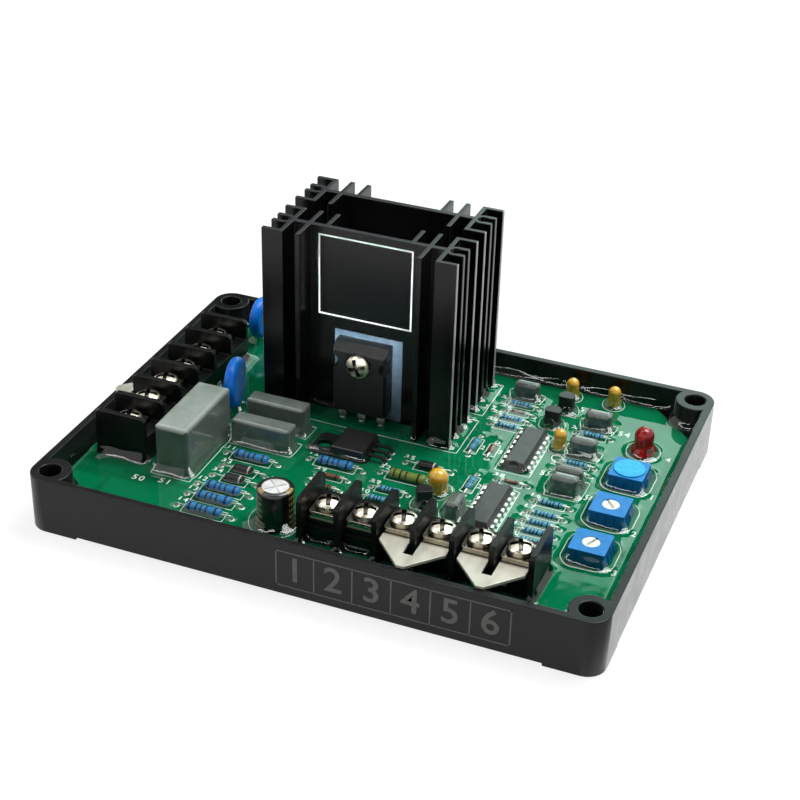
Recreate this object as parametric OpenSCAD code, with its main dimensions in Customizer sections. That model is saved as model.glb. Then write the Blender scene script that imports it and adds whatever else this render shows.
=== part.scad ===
// Automatic voltage regulator for a generator: a circuit board potted in a moulded tray.
// Origin at the centre of the underside, X along the long front wall, Y to the back, Z up.

/* [Tray] */
// Outside length along X
tray_l = 146.5; // [144:0.5:170]
// Outside width along Y
tray_w = 107.5; // [106:0.5:130]
// Height from the feet to the rim
tray_h = 15.2; // [13.5:0.1:20]
// Side wall thickness
wall_t = 2.1; // [1.6:0.1:2.6]
// Floor thickness above the feet
floor_t = 2; // [1.5:0.1:2.8]
// Height of the corner foot pads
foot_h = 0.7; // [0.4:0.1:1.2]
// Side length of the corner foot pads
foot_l = 13.8; // [9:0.1:16]
// Distance from the outer faces to the mounting hole centres
hole_inset = 5; // [4.8:0.1:6]
// Diameter of the mounting holes
hole_d = 5.6; // [4:0.1:6.4]
// Diameter of the corner bosses
boss_d = 10.4; // [9.6:0.1:12]

/* [Board] */
// Board thickness
board_t = 1.6; // [1:0.1:2.4]
// Depth of the board's top face below the rim
board_drop = 7.8; // [6:0.1:8.4]
// Gap between the board's edge and the walls or bosses
board_gap = 0.5; // [0.3:0.1:1]
// Depth of the resin over the board
cover_t = 2; // [1:0.1:2.4]
// Gap between the resin and the parts that stand in it
cover_gap = 0.1; // [0.05:0.05:0.2]
// Diameter of the fine component leads
lead_d = 0.7; // [0.5:0.05:0.9]
// Radial clearance of leads in their board holes
lead_gap = 0.15; // [0.1:0.05:0.3]

/* [Terminal blocks] */
// Distance between neighbouring poles
pitch = 9.5; // [9:0.1:10]
// Poles in each block
poles = 6; // [6:1:7]
// Thickness of the barriers between poles
barrier_t = 1.4; // [1:0.1:1.8]
// Depth of a block from the wire side to its back
block_d = 14; // [13:0.1:15]
// Height of the barriers above the deck
barrier_h = 6.8; // [5:0.1:8]
// Depth of the pocket in front of the deck
pocket_d = 3; // [2:0.1:3.4]
// Height of the contact plates' top above the rim
contact_over_rim = 0.1; // [0.1:0.1:0.6]
// Thickness of the contact plates
contact_t = 0.8; // [0.6:0.1:1]
// Side length of the square clamp washers
clamp_w = 7.4; // [6.4:0.1:7.5]
// Thickness of the clamp washers
clamp_t = 1.4; // [0.8:0.1:1.8]
// Thickness of the link plates
link_t = 0.8; // [0.5:0.1:1.2]
// Distance from the screws to the tip of a link plate
link_reach = 14.5; // [13.5:0.1:14.8]
// Distance from the front wall to the front block's centre line
front_block_in = 16.5; // [16.4:0.1:18]
// Middle of the front block along X
front_block_x = 24.4; // [23:0.1:25]
// Distance from the left wall to the left block's centre line
left_block_in = 12.6; // [12.2:0.1:13]
// Middle of the left block along Y
left_block_y = 0.9; // [-1:0.1:1]

/* [Screws] */
// Thread diameter
screw_d = 3; // [2.5:0.1:3.2]
// Pan head diameter
head_d = 6.3; // [5.6:0.1:6.6]
// Pan head height
head_h = 2.4; // [1.8:0.1:2.6]
// Radial clearance round the thread
screw_gap = 0.1; // [0.05:0.05:0.2]

/* [Heat sinks] */
// Height of the extrusions
sink_h = 53.8; // [45:0.1:60]
// Width across the outer fins
sink_w = 52.6; // [50:0.1:54]
// Depth from the front fins to the back fins
sink_d = 15.4; // [14:0.1:16.5]
// Thickness of the web that carries the transistor
web_t = 1.6; // [1.2:0.1:2.2]
// Thickness of the flanges and fins
fin_t = 1.3; // [1:0.1:1.6]
// Reach of the outer fins beyond the flanges
fin_reach = 4.6; // [4:0.1:5.2]
// Bore of the pin channel at each end of the web
channel_d = 2.8; // [2.4:0.1:3.2]
// Distance between the middle lines of the two sinks
sink_pitch = 20.2; // [19.8:0.1:21]
// Middle of the sinks along X
sink_x = -12.5; // [-13:0.1:-12]
// Middle line of the front sink along Y
sink_y = 16.9; // [16.5:0.1:17.5]

/* [Trimmers] */
// Side length of the square housings
trim_w = 9; // [8.6:0.1:10]
// Height of the housings above the board
trim_h = 5; // [4.5:0.1:6]
// Diameter of the rotors
rotor_d = 4.3; // [3.4:0.1:5]
// Height of the rotors
rotor_h = 2.4; // [1.8:0.1:2.8]
// Radial running clearance of the rotors
rotor_gap = 0.05; // [0.02:0.01:0.1]
// Distance between neighbouring trimmers
trim_pitch = 17; // [16:0.1:17.5]
// Distance from the right wall to the trimmers' centres
trim_in = 13; // [12:0.1:13.5]

/* [Hidden] */
$fn = 48;

// Tray size that the board's layout is drawn for, and how far it spreads with the tray
layout_l = 146.5;
layout_w = 107.5;
spread = [tray_l / layout_l, tray_w / layout_w];
function put(p) = concat([p[0] * spread[0], p[1] * spread[1]], [for (k = [2 : 1 : len(p) - 1]) p[k]]);
function put_all(list) = [for (p = list) put(p)];

// Levels
floor_z = foot_h + floor_t;
board_z = tray_h - board_drop;
board_low_z = board_z - board_t;
resin_z = board_z + cover_t;
hole_x = tray_l - 2 * hole_inset;
hole_y = tray_w - 2 * hole_inset;

// Terminal block sizes, in a block's own frame with the wire side at -Y
block_l = poles * pitch + barrier_t;
deck_h = board_drop + contact_over_rim - contact_t;
deck_front = -block_d / 2 + pocket_d;
screw_y = -0.3;
tail_w = 2.4;
back_rise = 1.2;
ledge_h = 1.5;
ledge_d = 0.7;
seat_gap = 0.1;
clamp_z = deck_h + contact_t;
tail_y = screw_y + clamp_w / 2 - contact_t;
back_wall_y = tail_y + contact_t + seat_gap;
front_block = [front_block_x, front_block_in - tray_w / 2];
left_block = [left_block_in - tray_l / 2, left_block_y];
// Barriers, counted from the left or from the back, that a link plate straddles
front_links = [3, 5];
left_links = [4];
// How much shorter the left link reaches
left_link_in = 2.6;

// Heat sink profile, half of it, from the middle of the web
flange_x = sink_w / 2 - fin_reach - fin_t / 2;
fin_step = 4.7;
cross_fin_x = flange_x - fin_step;
inner_fin_x = flange_x - 2 * fin_step;
lip_t = 1.1;
pin_len = 6;
pin_d = channel_d - 0.2;
sink_centres = [[sink_x, sink_y], [sink_x, sink_y + sink_pitch]];

// Power transistor sizes, upright, with the mounting face at Y = 0
power_x = 0.1;
power_w = 14.8;
power_h = 19.5;
power_t = 5;
power_lift = 4.6;
power_hole_drop = 5.2;
power_lead_pitch = 5.45;
power_lead_in = 2.4;
power_lead_w = 2.1;
power_lead_t = 0.6;
pad_size = [18.8, 24.4];
pad_t = 0.3;
pad_lift = 1.1;
pad_shift = 0.6;
web_face = -web_t / 2;

// Flat transistor sizes, lying with its tab to the left
flat_place = put([-13.2, -1]);
flat_w = 10.2;
flat_body_l = 9.8;
flat_body_h = 4.4;
flat_tab_l = 6.2;
flat_tab_t = 1.3;
flat_lead_pitch = 2.54;
flat_lead_out = 4.6;
flat_lead_w = 1;
flat_lead_t = 0.6;

// Film capacitors: [x, y, length, depth, height], length along X
large_film = put([-45.4, -18, 9.2, 24, 14.8]);
medium_films = put_all([[-30.9, -7.4, 16.4, 5, 7.9], [-30.9, 1.6, 16.4, 5, 9.2]]);
small_films = put_all([
    [24, 42.3, 7, 3, 6.2], [46.2, 34.8, 7.2, 3.4, 6.4], [46.2, 20.6, 7.2, 3.4, 6.4],
    [46.8, 2.2, 7.2, 3.4, 6.4], [46.8, 6.2, 7.2, 3, 6.4], [25, -17.4, 3.6, 6.4, 6]
]);

// Round parts: [x, y, diameter], varistors also with their turn, drops with their height
varistors = put_all([[-45, 4.6, 14, 10], [-55.4, 42, 12, 0]]);
varistor_t = 3.2;
varistor_lift = 2.4;
varistor_pitch = 7.5;
drops = put_all([[18.2, -10.7, 5.2, 6.6], [35.2, 47.4, 3.4, 5.6], [46.8, 47.6, 3.4, 5.6], [39.8, 21, 3.4, 5.6]]);
drop_lift = 1.6;
drop_pitch = 2.54;
can_place = put([-12.8, -38.3]);
can_d = 9.2;
can_h = 11.8;
can_pitch = 5;
can_neck = 0.35;
can_neck_z = 1.6;
can_shoulder = 1;
sleeve_t = 0.25;
sleeve_lip = 1.3;
led_y = 27.4 * spread[1];
led_lift = 1.4;
led_d = 5;
led_flange_d = 5.9;
led_flange_h = 1;
led_h = 7.8;
led_pitch = 2.54;

// Small upright transistors: [x, y, turn of the flat face]
small_transistors_at = put_all([[34.7, 31, 0], [35.9, 39.4, 0], [17.2, -17.6, 30]]);
small_d = 4.4;
small_h = 4.4;
small_flat = 1.3;
small_lift = 2;
small_pitch = 1.27;

// Integrated circuits: [x, y, turn], long side along Y, notch to the front at turn 0
circuits = put_all([[32.2, 15.6, 0], [32.2, -12.6, 180]]);
circuit_l = 19.2;
circuit_w = 6.4;
circuit_h = 3.3;
circuit_lift = 0.4;
circuit_draft = 0.8;
circuit_pins = 7;
circuit_pitch = 2.54;
circuit_row = 7.62;
circuit_pin_t = 0.3;

// Trimmers, from the back one to the front one
trim_x = tray_l / 2 - trim_in;
trim_mid_y = -3.5;
trimmers = [for (k = [1, 0, -1]) [trim_x, trim_mid_y + k * trim_pitch]];
trim_pins = [[-2.54, 1.9], [0, -2.5], [2.54, 1.9]];
rotor_turns = [0, 130, 65];
rotor_low = trim_h - 0.15 - rotor_h;
seal_d = 8;
seal_t = 0.3;

// Axial parts: [x, y, turn]
power_resistors_at = put_all([
    [-30.4, -15.6, 0], [-30.6, -31.2, 0], [-30.6, -36, 0], [-30.6, -41.4, 0], [-9.8, -9.6, 0]
]);
signal_resistors_at = put_all([
    [45.6, -4.4, 0], [45.6, -9.6, 0], [45.6, -13.6, 0], [45.6, -17.5, 0], [45.6, -21.5, 0],
    [46, 30.4, 0], [46, 11.4, 0], [46, 15.4, 0], [24, 37.6, 0], [24, 29.5, 0], [24, 25.5, 0],
    [19.2, 13.6, 90], [24.4, -3.8, 90], [7, -14.8, 0], [6, -19.6, 0], [20, -24.5, 0]
]);
choke_at = put_all([[9.2, -8, 0]]);
rectifiers_at = put_all([[-29.8, -21.6, 0], [-30, -26.2, 0], [12, -1.2, 0]]);
glass_diodes_at = put_all([
    [24.6, 33.4, 0], [24.1, 13.4, 90], [33.6, 0.8, 0], [-8.4, -15, 0], [-8.4, -20, 0]
]);
// Axial sizes: [body length, body diameter, end cap length, waist diameter, lead span]
power_size = [9.4, 2.9, 2.1, 2.5, 15];
signal_size = [5.6, 2, 1.4, 1.7, 10];
choke_size = [9.6, 3, 2.4, 2.7, 15];
rectifier_size = [5.2, 2.7, 0, 2.7, 12.5];
glass_size = [4, 1.8, 0, 1.8, 8.6];
axial_lift = 0.3;

// Lead positions, shared by the leads and the holes of the board
function turned(at, along) = [at[0] + along * cos(at[2]), at[1] + along * sin(at[2])];
function pair(at, size) = [for (s = [-1, 1]) turned(at, s * size[4] / 2)];
function pairs(list, size) = [for (at = list) for (p = pair(at, size)) p];
axial_feet = concat(
    pairs(power_resistors_at, power_size), pairs(signal_resistors_at, signal_size),
    pairs(choke_at, choke_size), pairs(rectifiers_at, rectifier_size), pairs(glass_diodes_at, glass_size)
);
films = concat([large_film], medium_films, small_films);
film_end = 1.6;
// The large capacitor's leads stand along Y, the others along X
film_feet = [for (c = films) for (s = [-1, 1])
    c[2] > c[3] ? [c[0] + s * (c[2] / 2 - film_end), c[1]] : [c[0], c[1] + s * (c[3] / 2 - film_end)]];
drop_feet = [for (p = drops) for (s = [-1, 1]) [p[0] + s * drop_pitch / 2, p[1]]];
varistor_feet = [for (p = varistors) for (s = [-1, 1])
    [p[0] - s * varistor_pitch / 2 * sin(p[3]), p[1] + s * varistor_pitch / 2 * cos(p[3])]];
can_feet = [for (s = [-1, 1]) [can_place[0] + s * can_pitch / 2, can_place[1]]];
led_feet = [for (s = [-1, 1]) [trim_x + s * led_pitch / 2, led_y]];
small_feet = [for (at = small_transistors_at) for (k = [-1, 0, 1]) turned(at, k * small_pitch)];
trim_feet = [for (p = trimmers) for (q = trim_pins) p + q];
circuit_feet = [for (c = circuits) for (s = [-1, 1]) for (k = [0 : circuit_pins - 1])
    [c[0] + s * circuit_row / 2, c[1] + (k - (circuit_pins - 1) / 2) * circuit_pitch]];
power_feet = [for (c = sink_centres) for (k = [-1, 0, 1])
    [c[0] + power_x + k * power_lead_pitch, c[1] + web_face - pad_t - power_lead_in]];
flat_feet = [for (k = [-1, 0, 1])
    [flat_place[0] + flat_body_l + flat_lead_out, flat_place[1] + k * flat_lead_pitch]];
pin_feet = [for (c = sink_centres) for (s = [-1, 1])
    [c[0] + s * (flange_x + fin_t / 2 + channel_d / 2), c[1]]];
fine_feet = concat(axial_feet, film_feet, drop_feet, varistor_feet, can_feet, led_feet, small_feet,
    trim_feet, circuit_feet);

// Shapes that several sub-parts share
module rounded_rect(l, w, r) {
    square([l - 2 * r, w], center = true);
    square([l, w - 2 * r], center = true);
    for (sx = [-1, 1], sy = [-1, 1]) translate([sx * (l / 2 - r), sy * (w / 2 - r)]) circle(r);
}

module rounded_top(w, h, r) {
    translate([-w / 2, 0]) square([w, h - r]);
    translate([r - w / 2, 0]) square([w - 2 * r, h]);
    for (s = [-1, 1]) translate([s * (w / 2 - r), h - r]) circle(r);
}

// Moulded box with rounded upright and top edges
module soft_box(l, w, h, r) {
    intersection() {
        linear_extrude(h) rounded_rect(l, w, r);
        rotate([90, 0, 0]) translate([0, 0, -w]) linear_extrude(2 * w) rounded_top(l, h, r);
        rotate([90, 0, 90]) translate([0, 0, -l]) linear_extrude(2 * l) rounded_top(w, h, r);
    }
}

module corners() {
    for (sx = [-1, 1], sy = [-1, 1]) translate([sx * hole_x / 2, sy * hole_y / 2]) children();
}

module upright_lead(foot, top, d = lead_d) {
    translate([foot[0], foot[1], board_low_z]) cylinder(d = d, h = top - board_low_z, $fn = 8);
}

// Pan head screw along Z with its head's underside at Z = 0
module pan_screw(length) {
    recess_w = 1.1;
    recess_l = 0.78 * head_d;
    difference() {
        union() {
            rotate_extrude() intersection() {
                translate([0, -1]) square([head_d / 2, head_h + 1]);
                translate([0, head_h - dome_r(head_d / 2, 0.45 * head_h)]) circle(dome_r(head_d / 2, 0.45 * head_h));
                square([head_d / 2, head_h]);
            }
            translate([0, 0, -length]) cylinder(d = screw_d, h = length);
        }
        for (a = [0, 90]) rotate([0, 0, a + 20])
            translate([-recess_l / 2, -recess_w / 2, 0.45 * head_h]) cube([recess_l, recess_w, head_h]);
    }
}
// Radius of the arc that rises by the given height over half a chord
function dome_r(half, rise) = (half * half + rise * rise) / (2 * rise);

// Tray
module tray_outline() {
    rounded_rect(tray_l, tray_w, hole_inset);
}

module cavity() {
    difference() {
        rounded_rect(tray_l - 2 * wall_t, tray_w - 2 * wall_t, hole_inset - wall_t);
        corners() circle(d = boss_d);
    }
}

module tray() {
    color("#2f3130") difference() {
        union() {
            translate([0, 0, foot_h]) linear_extrude(tray_h - foot_h) tray_outline();
            linear_extrude(foot_h) intersection() {
                tray_outline();
                for (sx = [-1, 1], sy = [-1, 1])
                    translate([sx * (tray_l - foot_l) / 2, sy * (tray_w - foot_l) / 2])
                        square(foot_l, center = true);
            }
        }
        translate([0, 0, floor_z]) linear_extrude(tray_h) cavity();
        corners() translate([0, 0, -1]) cylinder(d = hole_d, h = tray_h + 2);
    }
}

// Board with its corners cut off beside the bosses
module board_outline() {
    half_l = tray_l / 2 - wall_t - board_gap;
    half_w = tray_w / 2 - wall_t - board_gap;
    cut = half_l + half_w - (hole_x + hole_y) / 2 + sqrt(2) * (boss_d / 2 + board_gap);
    polygon([for (q = [[1, 1, 0], [1, 1, 1], [-1, 1, 1], [-1, 1, 0], [-1, -1, 0], [-1, -1, 1], [1, -1, 1], [1, -1, 0]])
        [q[0] * (half_l - q[2] * cut), q[1] * (half_w - (1 - q[2]) * cut)]]);
}

// Places where parts stand in the resin above the board
module cover_rect(l, w) {
    square([l + 2 * cover_gap, w + 2 * cover_gap], center = true);
}

module cover_cuts() {
    g = cover_gap;
    at_blocks() {
        translate([-block_l / 2 - g, deck_front - ledge_d - g])
            square([block_l + 2 * g, block_d / 2 - deck_front + ledge_d + 2 * g]);
        for (k = [0 : poles]) translate([barrier_x(k), 0]) cover_rect(barrier_t, block_d);
    }
    for (c = sink_centres) translate(c) {
        sink_profile(g);
        translate([power_x + pad_shift, web_face - pad_t / 2]) cover_rect(pad_size[0], pad_t);
    }
    for (p = power_feet) translate(p) cover_rect(power_lead_w, power_lead_t);
    translate(flat_place) {
        translate([(flat_body_l - flat_tab_l) / 2, 0]) cover_rect(flat_body_l + flat_tab_l, flat_w);
        for (k = [-1, 0, 1]) translate([flat_body_l + flat_lead_out / 2, k * flat_lead_pitch])
            cover_rect(flat_lead_out + flat_lead_t, flat_lead_w);
    }
    for (c = films) translate([c[0], c[1]]) cover_rect(c[2], c[3]);
    for (p = varistor_feet) translate(p) circle(d = lead_d + 2 * g);
    for (p = drops) translate([p[0], p[1]]) circle(d = p[2] + 2 * g);
    translate(can_place) circle(d = can_d + 2 * g);
    for (p = small_transistors_at) translate([p[0], p[1]]) circle(d = small_d + 2 * g);
    translate([trim_x, led_y]) circle(d = led_flange_d + 2 * g);
    for (c = circuits) translate([c[0], c[1]]) cover_rect(circuit_row + circuit_pin_t, circuit_l);
    for (p = trimmers) translate(p) cover_rect(trim_w, trim_w);
    cover_axial(power_resistors_at, power_size);
    cover_axial(signal_resistors_at, signal_size);
    cover_axial(choke_at, choke_size);
    cover_axial(rectifiers_at, rectifier_size);
    cover_axial(glass_diodes_at, glass_size);
}

module cover_axial(list, size) {
    for (at = list) translate([at[0], at[1]]) rotate(at[2]) {
        cover_rect(size[0], size[1]);
        cover_rect(size[4] + lead_d, lead_d);
    }
}

module potting_resin() {
    color("#14372b") difference() {
        translate([0, 0, floor_z]) linear_extrude(resin_z - floor_z) cavity();
        translate([0, 0, board_low_z]) linear_extrude(board_t) board_outline();
        translate([0, 0, board_z - board_t / 2]) linear_extrude(cover_t + board_t) cover_cuts();
    }
}

module board_holes() {
    for (p = fine_feet) translate(p) circle(d = lead_d + 2 * lead_gap);
    for (p = concat(power_feet, flat_feet)) translate(p) circle(d = 1.7);
    for (p = pin_feet) translate(p) circle(d = pin_d + 2 * lead_gap);
    at_blocks() at_poles()
        translate([-tail_w / 2 - seat_gap, tail_y - seat_gap])
            square([tail_w + 2 * seat_gap, contact_t + 2 * seat_gap]);
}

module circuit_board() {
    color("#0a7a4e") translate([0, 0, board_low_z]) linear_extrude(board_t) difference() {
        board_outline();
        board_holes();
    }
}

// Terminal blocks
module at_front_block() {
    translate(front_block) children();
}

module at_left_block() {
    translate(left_block) rotate([0, 0, -90]) children();
}

module at_blocks() {
    at_front_block() children();
    at_left_block() children();
}

function pole_x(k) = (k - (poles - 1) / 2) * pitch;
function barrier_x(k) = (k - poles / 2) * pitch;
function is_linked(k, links) = len([for (b = links) if (k == b || k == b - 1) b]) > 0;

module at_poles() {
    for (k = [0 : poles - 1]) translate([pole_x(k), 0]) children();
}

// Repeats its children at each pole, raised where a link plate lies under the clamp
module at_clamps(links) {
    for (k = [0 : poles - 1])
        translate([pole_x(k), screw_y, board_z + clamp_z + (is_linked(k, links) ? link_t : 0)]) children();
}

module at_all_clamps() {
    at_front_block() at_clamps(front_links) children();
    at_left_block() at_clamps(left_links) children();
}

module barrier() {
    bevel = 0.8;
    top = deck_h + barrier_h;
    rotate([90, 0, 90]) translate([0, 0, -barrier_t / 2]) linear_extrude(barrier_t) polygon([
        [-block_d / 2, 0], [block_d / 2, 0], [block_d / 2, top - bevel], [block_d / 2 - bevel, top],
        [bevel - block_d / 2, top], [-block_d / 2, top - bevel]
    ]);
}

module terminal_block() {
    screw_hole = 5;
    difference() {
        union() {
            translate([-block_l / 2, deck_front, 0]) cube([block_l, block_d / 2 - deck_front, deck_h]);
            translate([-block_l / 2, deck_front - ledge_d, 0]) cube([block_l, ledge_d, deck_h - ledge_h]);
            translate([-block_l / 2, back_wall_y, deck_h]) cube([block_l, block_d / 2 - back_wall_y, back_rise]);
            for (k = [0 : poles]) translate([barrier_x(k), 0, 0]) barrier();
        }
        at_poles() {
            translate([0, screw_y, deck_h - screw_hole]) cylinder(d = screw_d + 2 * screw_gap, h = screw_hole + 1);
            translate([-tail_w / 2 - seat_gap, tail_y - seat_gap, -1])
                cube([tail_w + 2 * seat_gap, contact_t + 2 * seat_gap, deck_h + 2 + back_rise]);
        }
    }
}

module front_terminal_block() {
    color("#1d1e1e") translate([0, 0, board_z]) at_front_block() terminal_block();
}

module left_terminal_block() {
    color("#1d1e1e") translate([0, 0, board_z]) at_left_block() terminal_block();
}

// Contact plate on the deck, with a tail bent down through the deck and the board
module contact() {
    plate_w = pitch - barrier_t - 1.2;
    plate_front = deck_front + 0.3;
    difference() {
        translate([-plate_w / 2, plate_front, deck_h]) cube([plate_w, tail_y + contact_t - plate_front, contact_t]);
        translate([0, screw_y, deck_h - 1]) cylinder(d = screw_d + 2 * screw_gap, h = contact_t + 2);
    }
    translate([-tail_w / 2, tail_y, -board_t])
        cube([tail_w, contact_t, board_t + deck_h + contact_t / 2]);
}

module terminal_contacts() {
    color("#c9c6ba") translate([0, 0, board_z]) at_blocks() at_poles() contact();
}

module clamp_washers() {
    cut = 0.4;
    half = clamp_w / 2;
    color("#cfcdc6") at_all_clamps() linear_extrude(clamp_t) difference() {
        polygon([for (a = [0 : 90 : 270]) for (q = [[half, cut - half], [half, half - cut]])
            [q[0] * cos(a) - q[1] * sin(a), q[0] * sin(a) + q[1] * cos(a)]]);
        circle(d = screw_d + 2 * screw_gap);
    }
}

module terminal_screws() {
    color("#d8d6cf") at_all_clamps() translate([0, 0, clamp_t])
        rotate([0, 0, $children]) pan_screw(clamp_t + contact_t + link_t + 2);
}

// Five-sided plate under two screws, slotted for the barrier between them
module link_plate(shorter) {
    half_w = pitch - barrier_t / 2 - 0.6;
    tip_half = 0.9;
    back = 2.9;
    corner_y = shorter - 6.6;
    tip_y = shorter - link_reach;
    nose = 4.8;
    barrier_slot_w = barrier_t + 1;
    linear_extrude(link_t) difference() {
        polygon([[-half_w, back], [half_w, back], [half_w, corner_y], [tip_half, tip_y],
            [-tip_half, tip_y], [-half_w, corner_y]]);
        translate([-barrier_slot_w / 2, tip_y + nose]) square([barrier_slot_w, back + 1 - nose - tip_y]);
        for (s = [-1, 1]) translate([s * pitch / 2, 0]) circle(d = screw_d + 2 * screw_gap);
    }
}

module link_plates() {
    color("#dcdccf") {
        at_front_block() for (k = front_links)
            translate([barrier_x(k), screw_y, board_z + clamp_z]) link_plate(0);
        at_left_block() for (k = left_links)
            translate([barrier_x(k), screw_y, board_z + clamp_z]) link_plate(left_link_in);
    }
}

// Heat sinks: one extruded profile, open channels at both ends for the solder pins
// With a gap given, the outline that the sink takes up in the resin, its channels filled
module sink_profile(gap = 0) {
    g = gap;
    fin_l = fin_reach + fin_t / 2;
    lip_l = fin_reach - 0.3;
    ring_x = flange_x + fin_t / 2 + channel_d / 2;
    translate([-flange_x, -web_t / 2 - g]) square([2 * flange_x, web_t + 2 * g]);
    for (s = [0, 1]) mirror([s, 0]) {
        translate([flange_x - fin_t / 2 - g, -sink_d / 2 - g]) square([fin_t + 2 * g, sink_d + 2 * g]);
        for (y = [-sink_d / 2, sink_d / 2 - fin_t])
            translate([flange_x, y - g]) square([fin_l + g, fin_t + 2 * g]);
        translate([cross_fin_x - fin_t / 2 - g, -sink_d / 2 - g]) square([fin_t + 2 * g, sink_d + 2 * g]);
        translate([inner_fin_x - fin_t / 2 - g, 0]) square([fin_t + 2 * g, sink_d / 2 + g]);
        difference() {
            union() {
                translate([ring_x, 0]) circle(d = channel_d + 2 * lip_t + 2 * g);
                translate([ring_x, -channel_d / 2 - lip_t - g])
                    square([flange_x + fin_t / 2 + lip_l + g - ring_x, channel_d + 2 * lip_t + 2 * g]);
            }
            if (gap == 0) {
                translate([ring_x, 0]) circle(d = channel_d);
                translate([ring_x, -channel_d / 2 + 0.3]) square([fin_reach + 1, channel_d - 0.6]);
            }
        }
    }
}

module heat_sink(centre) {
    color("#141516") difference() {
        translate([centre[0], centre[1], board_z]) linear_extrude(sink_h) sink_profile();
        translate([centre[0] + power_x, centre[1], board_z + power_lift + power_h - power_hole_drop])
            rotate([90, 0, 0]) translate([0, 0, -web_t]) cylinder(d = screw_d + 2 * screw_gap, h = 2 * web_t);
    }
}

module front_heat_sink() {
    heat_sink(sink_centres[0]);
}

module rear_heat_sink() {
    heat_sink(sink_centres[1]);
}

module heat_sink_pins() {
    color("#c9c6ba") for (p = pin_feet)
        translate([p[0], p[1], board_low_z]) cylinder(d = pin_d, h = board_t + pin_len);
}

// Power transistors, upright on the front face of each web
module at_webs(depth) {
    for (c = sink_centres) translate([c[0] + power_x, c[1] + web_face - depth, board_z]) children();
}

module insulating_pads() {
    color("#7f9fbe") at_webs(0) rotate([90, 0, 0]) linear_extrude(pad_t) difference() {
        translate([pad_shift - pad_size[0] / 2, pad_lift]) square(pad_size);
        translate([0, power_lift + power_h - power_hole_drop]) circle(d = screw_d + 2 * screw_gap);
    }
}

module power_transistor() {
    bevel_h = 2;
    bevel_t = 2.4;
    side = 1;
    notch_d = 3.8;
    ring_d = 7.4;
    hole_z = power_h - power_hole_drop;
    difference() {
        intersection() {
            rotate([90, 0, 90]) translate([0, 0, -power_w / 2]) linear_extrude(power_w) polygon([
                [0, 0], [0, power_h], [bevel_t - power_t, power_h], [-power_t, power_h - bevel_h], [-power_t, 0]
            ]);
            linear_extrude(power_h) polygon([
                [-power_w / 2, 0], [power_w / 2, 0], [power_w / 2, side - power_t],
                [power_w / 2 - side / 2, -power_t], [side / 2 - power_w / 2, -power_t], [-power_w / 2, side - power_t]
            ]);
        }
        translate([0, 1, hole_z]) rotate([90, 0, 0]) cylinder(d = screw_d + 6 * screw_gap, h = power_t + 2);
        translate([0, 0.4 - power_t, hole_z]) rotate([90, 0, 0]) cylinder(d = ring_d, h = 1);
        for (s = [-1, 1]) translate([s * power_w / 2, 1 - power_t / 2, hole_z]) rotate([90, 0, 0])
            cylinder(d = notch_d, h = power_t);
    }
}

module power_transistors() {
    color("#1b1a1b") at_webs(pad_t) translate([0, 0, power_lift]) power_transistor();
}

module power_transistor_leads() {
    wide = power_lead_w;
    narrow = 1.2;
    color("#8d8f8c") at_webs(pad_t + power_lead_in) for (k = [-1, 0, 1]) translate([k * power_lead_pitch, 0, 0])
        rotate([90, 0, 0]) linear_extrude(power_lead_t, center = true) polygon([
            [-narrow / 2, -board_t], [narrow / 2, -board_t], [narrow / 2, 0.9], [wide / 2, 1.3],
            [wide / 2, power_lift], [-wide / 2, power_lift], [-wide / 2, 1.3], [-narrow / 2, 0.9]
        ]);
}

module transistor_screws() {
    color("#d8d6cf") at_webs(pad_t + power_t - 0.4)
        translate([0, 0, power_lift + power_h - power_hole_drop]) rotate([90, 0, 0])
            pan_screw(pad_t + power_t - 0.4 + web_t + 1.5);
}

// Flat transistor, lying on its tab with three leads bent down into the board
module flat_transistor_body() {
    slope = 0.6;
    color("#1b1a1b") translate([flat_place[0], flat_place[1], board_z + flat_tab_t]) rotate([90, 0, 0])
        translate([0, 0, -flat_w / 2]) linear_extrude(flat_w) polygon([
            [0, 0], [flat_body_l, 0], [flat_body_l, 1], [flat_body_l - slope, flat_body_h - flat_tab_t],
            [slope, flat_body_h - flat_tab_t], [0, 1]
        ]);
}

module flat_transistor_tab() {
    lead_t = flat_lead_t;
    lead_w = flat_lead_w;
    lead_h = 2.4;
    notch = 1.2;
    tab_end = -flat_tab_l;
    color("#3a3b3a") translate([flat_place[0], flat_place[1], board_z]) {
        linear_extrude(flat_tab_t) difference() {
            polygon([
                [tab_end + notch, -flat_w / 2], [flat_body_l, -flat_w / 2], [flat_body_l, flat_w / 2],
                [tab_end + notch, flat_w / 2], [tab_end, flat_w / 2 - notch], [tab_end, notch - flat_w / 2]
            ]);
            translate([-flat_tab_l / 2 - 0.3, 0]) circle(d = 3.7);
        }
        for (k = [-1, 0, 1]) translate([0, k * flat_lead_pitch, 0]) rotate([90, 0, 0])
            linear_extrude(lead_w, center = true) polygon([
                [flat_body_l, lead_h], [flat_body_l + flat_lead_out - 1, lead_h],
                [flat_body_l + flat_lead_out - lead_t / 2, lead_h - 1],
                [flat_body_l + flat_lead_out - lead_t / 2, -board_t],
                [flat_body_l + flat_lead_out + lead_t / 2, -board_t],
                [flat_body_l + flat_lead_out + lead_t / 2, lead_h - 0.6],
                [flat_body_l + flat_lead_out - 0.8, lead_h + lead_t], [flat_body_l, lead_h + lead_t]
            ]);
    }
}

// Box film capacitors
module film(c, r) {
    translate([c[0], c[1], board_z]) soft_box(c[2], c[3], c[4], r);
}

module large_film_capacitor() {
    color("#6d7a72") film(large_film, 1.2);
}

module medium_film_capacitors() {
    color("#6d7a72") for (c = medium_films) film(c, 0.9);
}

module small_film_capacitors() {
    color("#5f6a66") for (c = small_films) film(c, 1.4);
}

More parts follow.
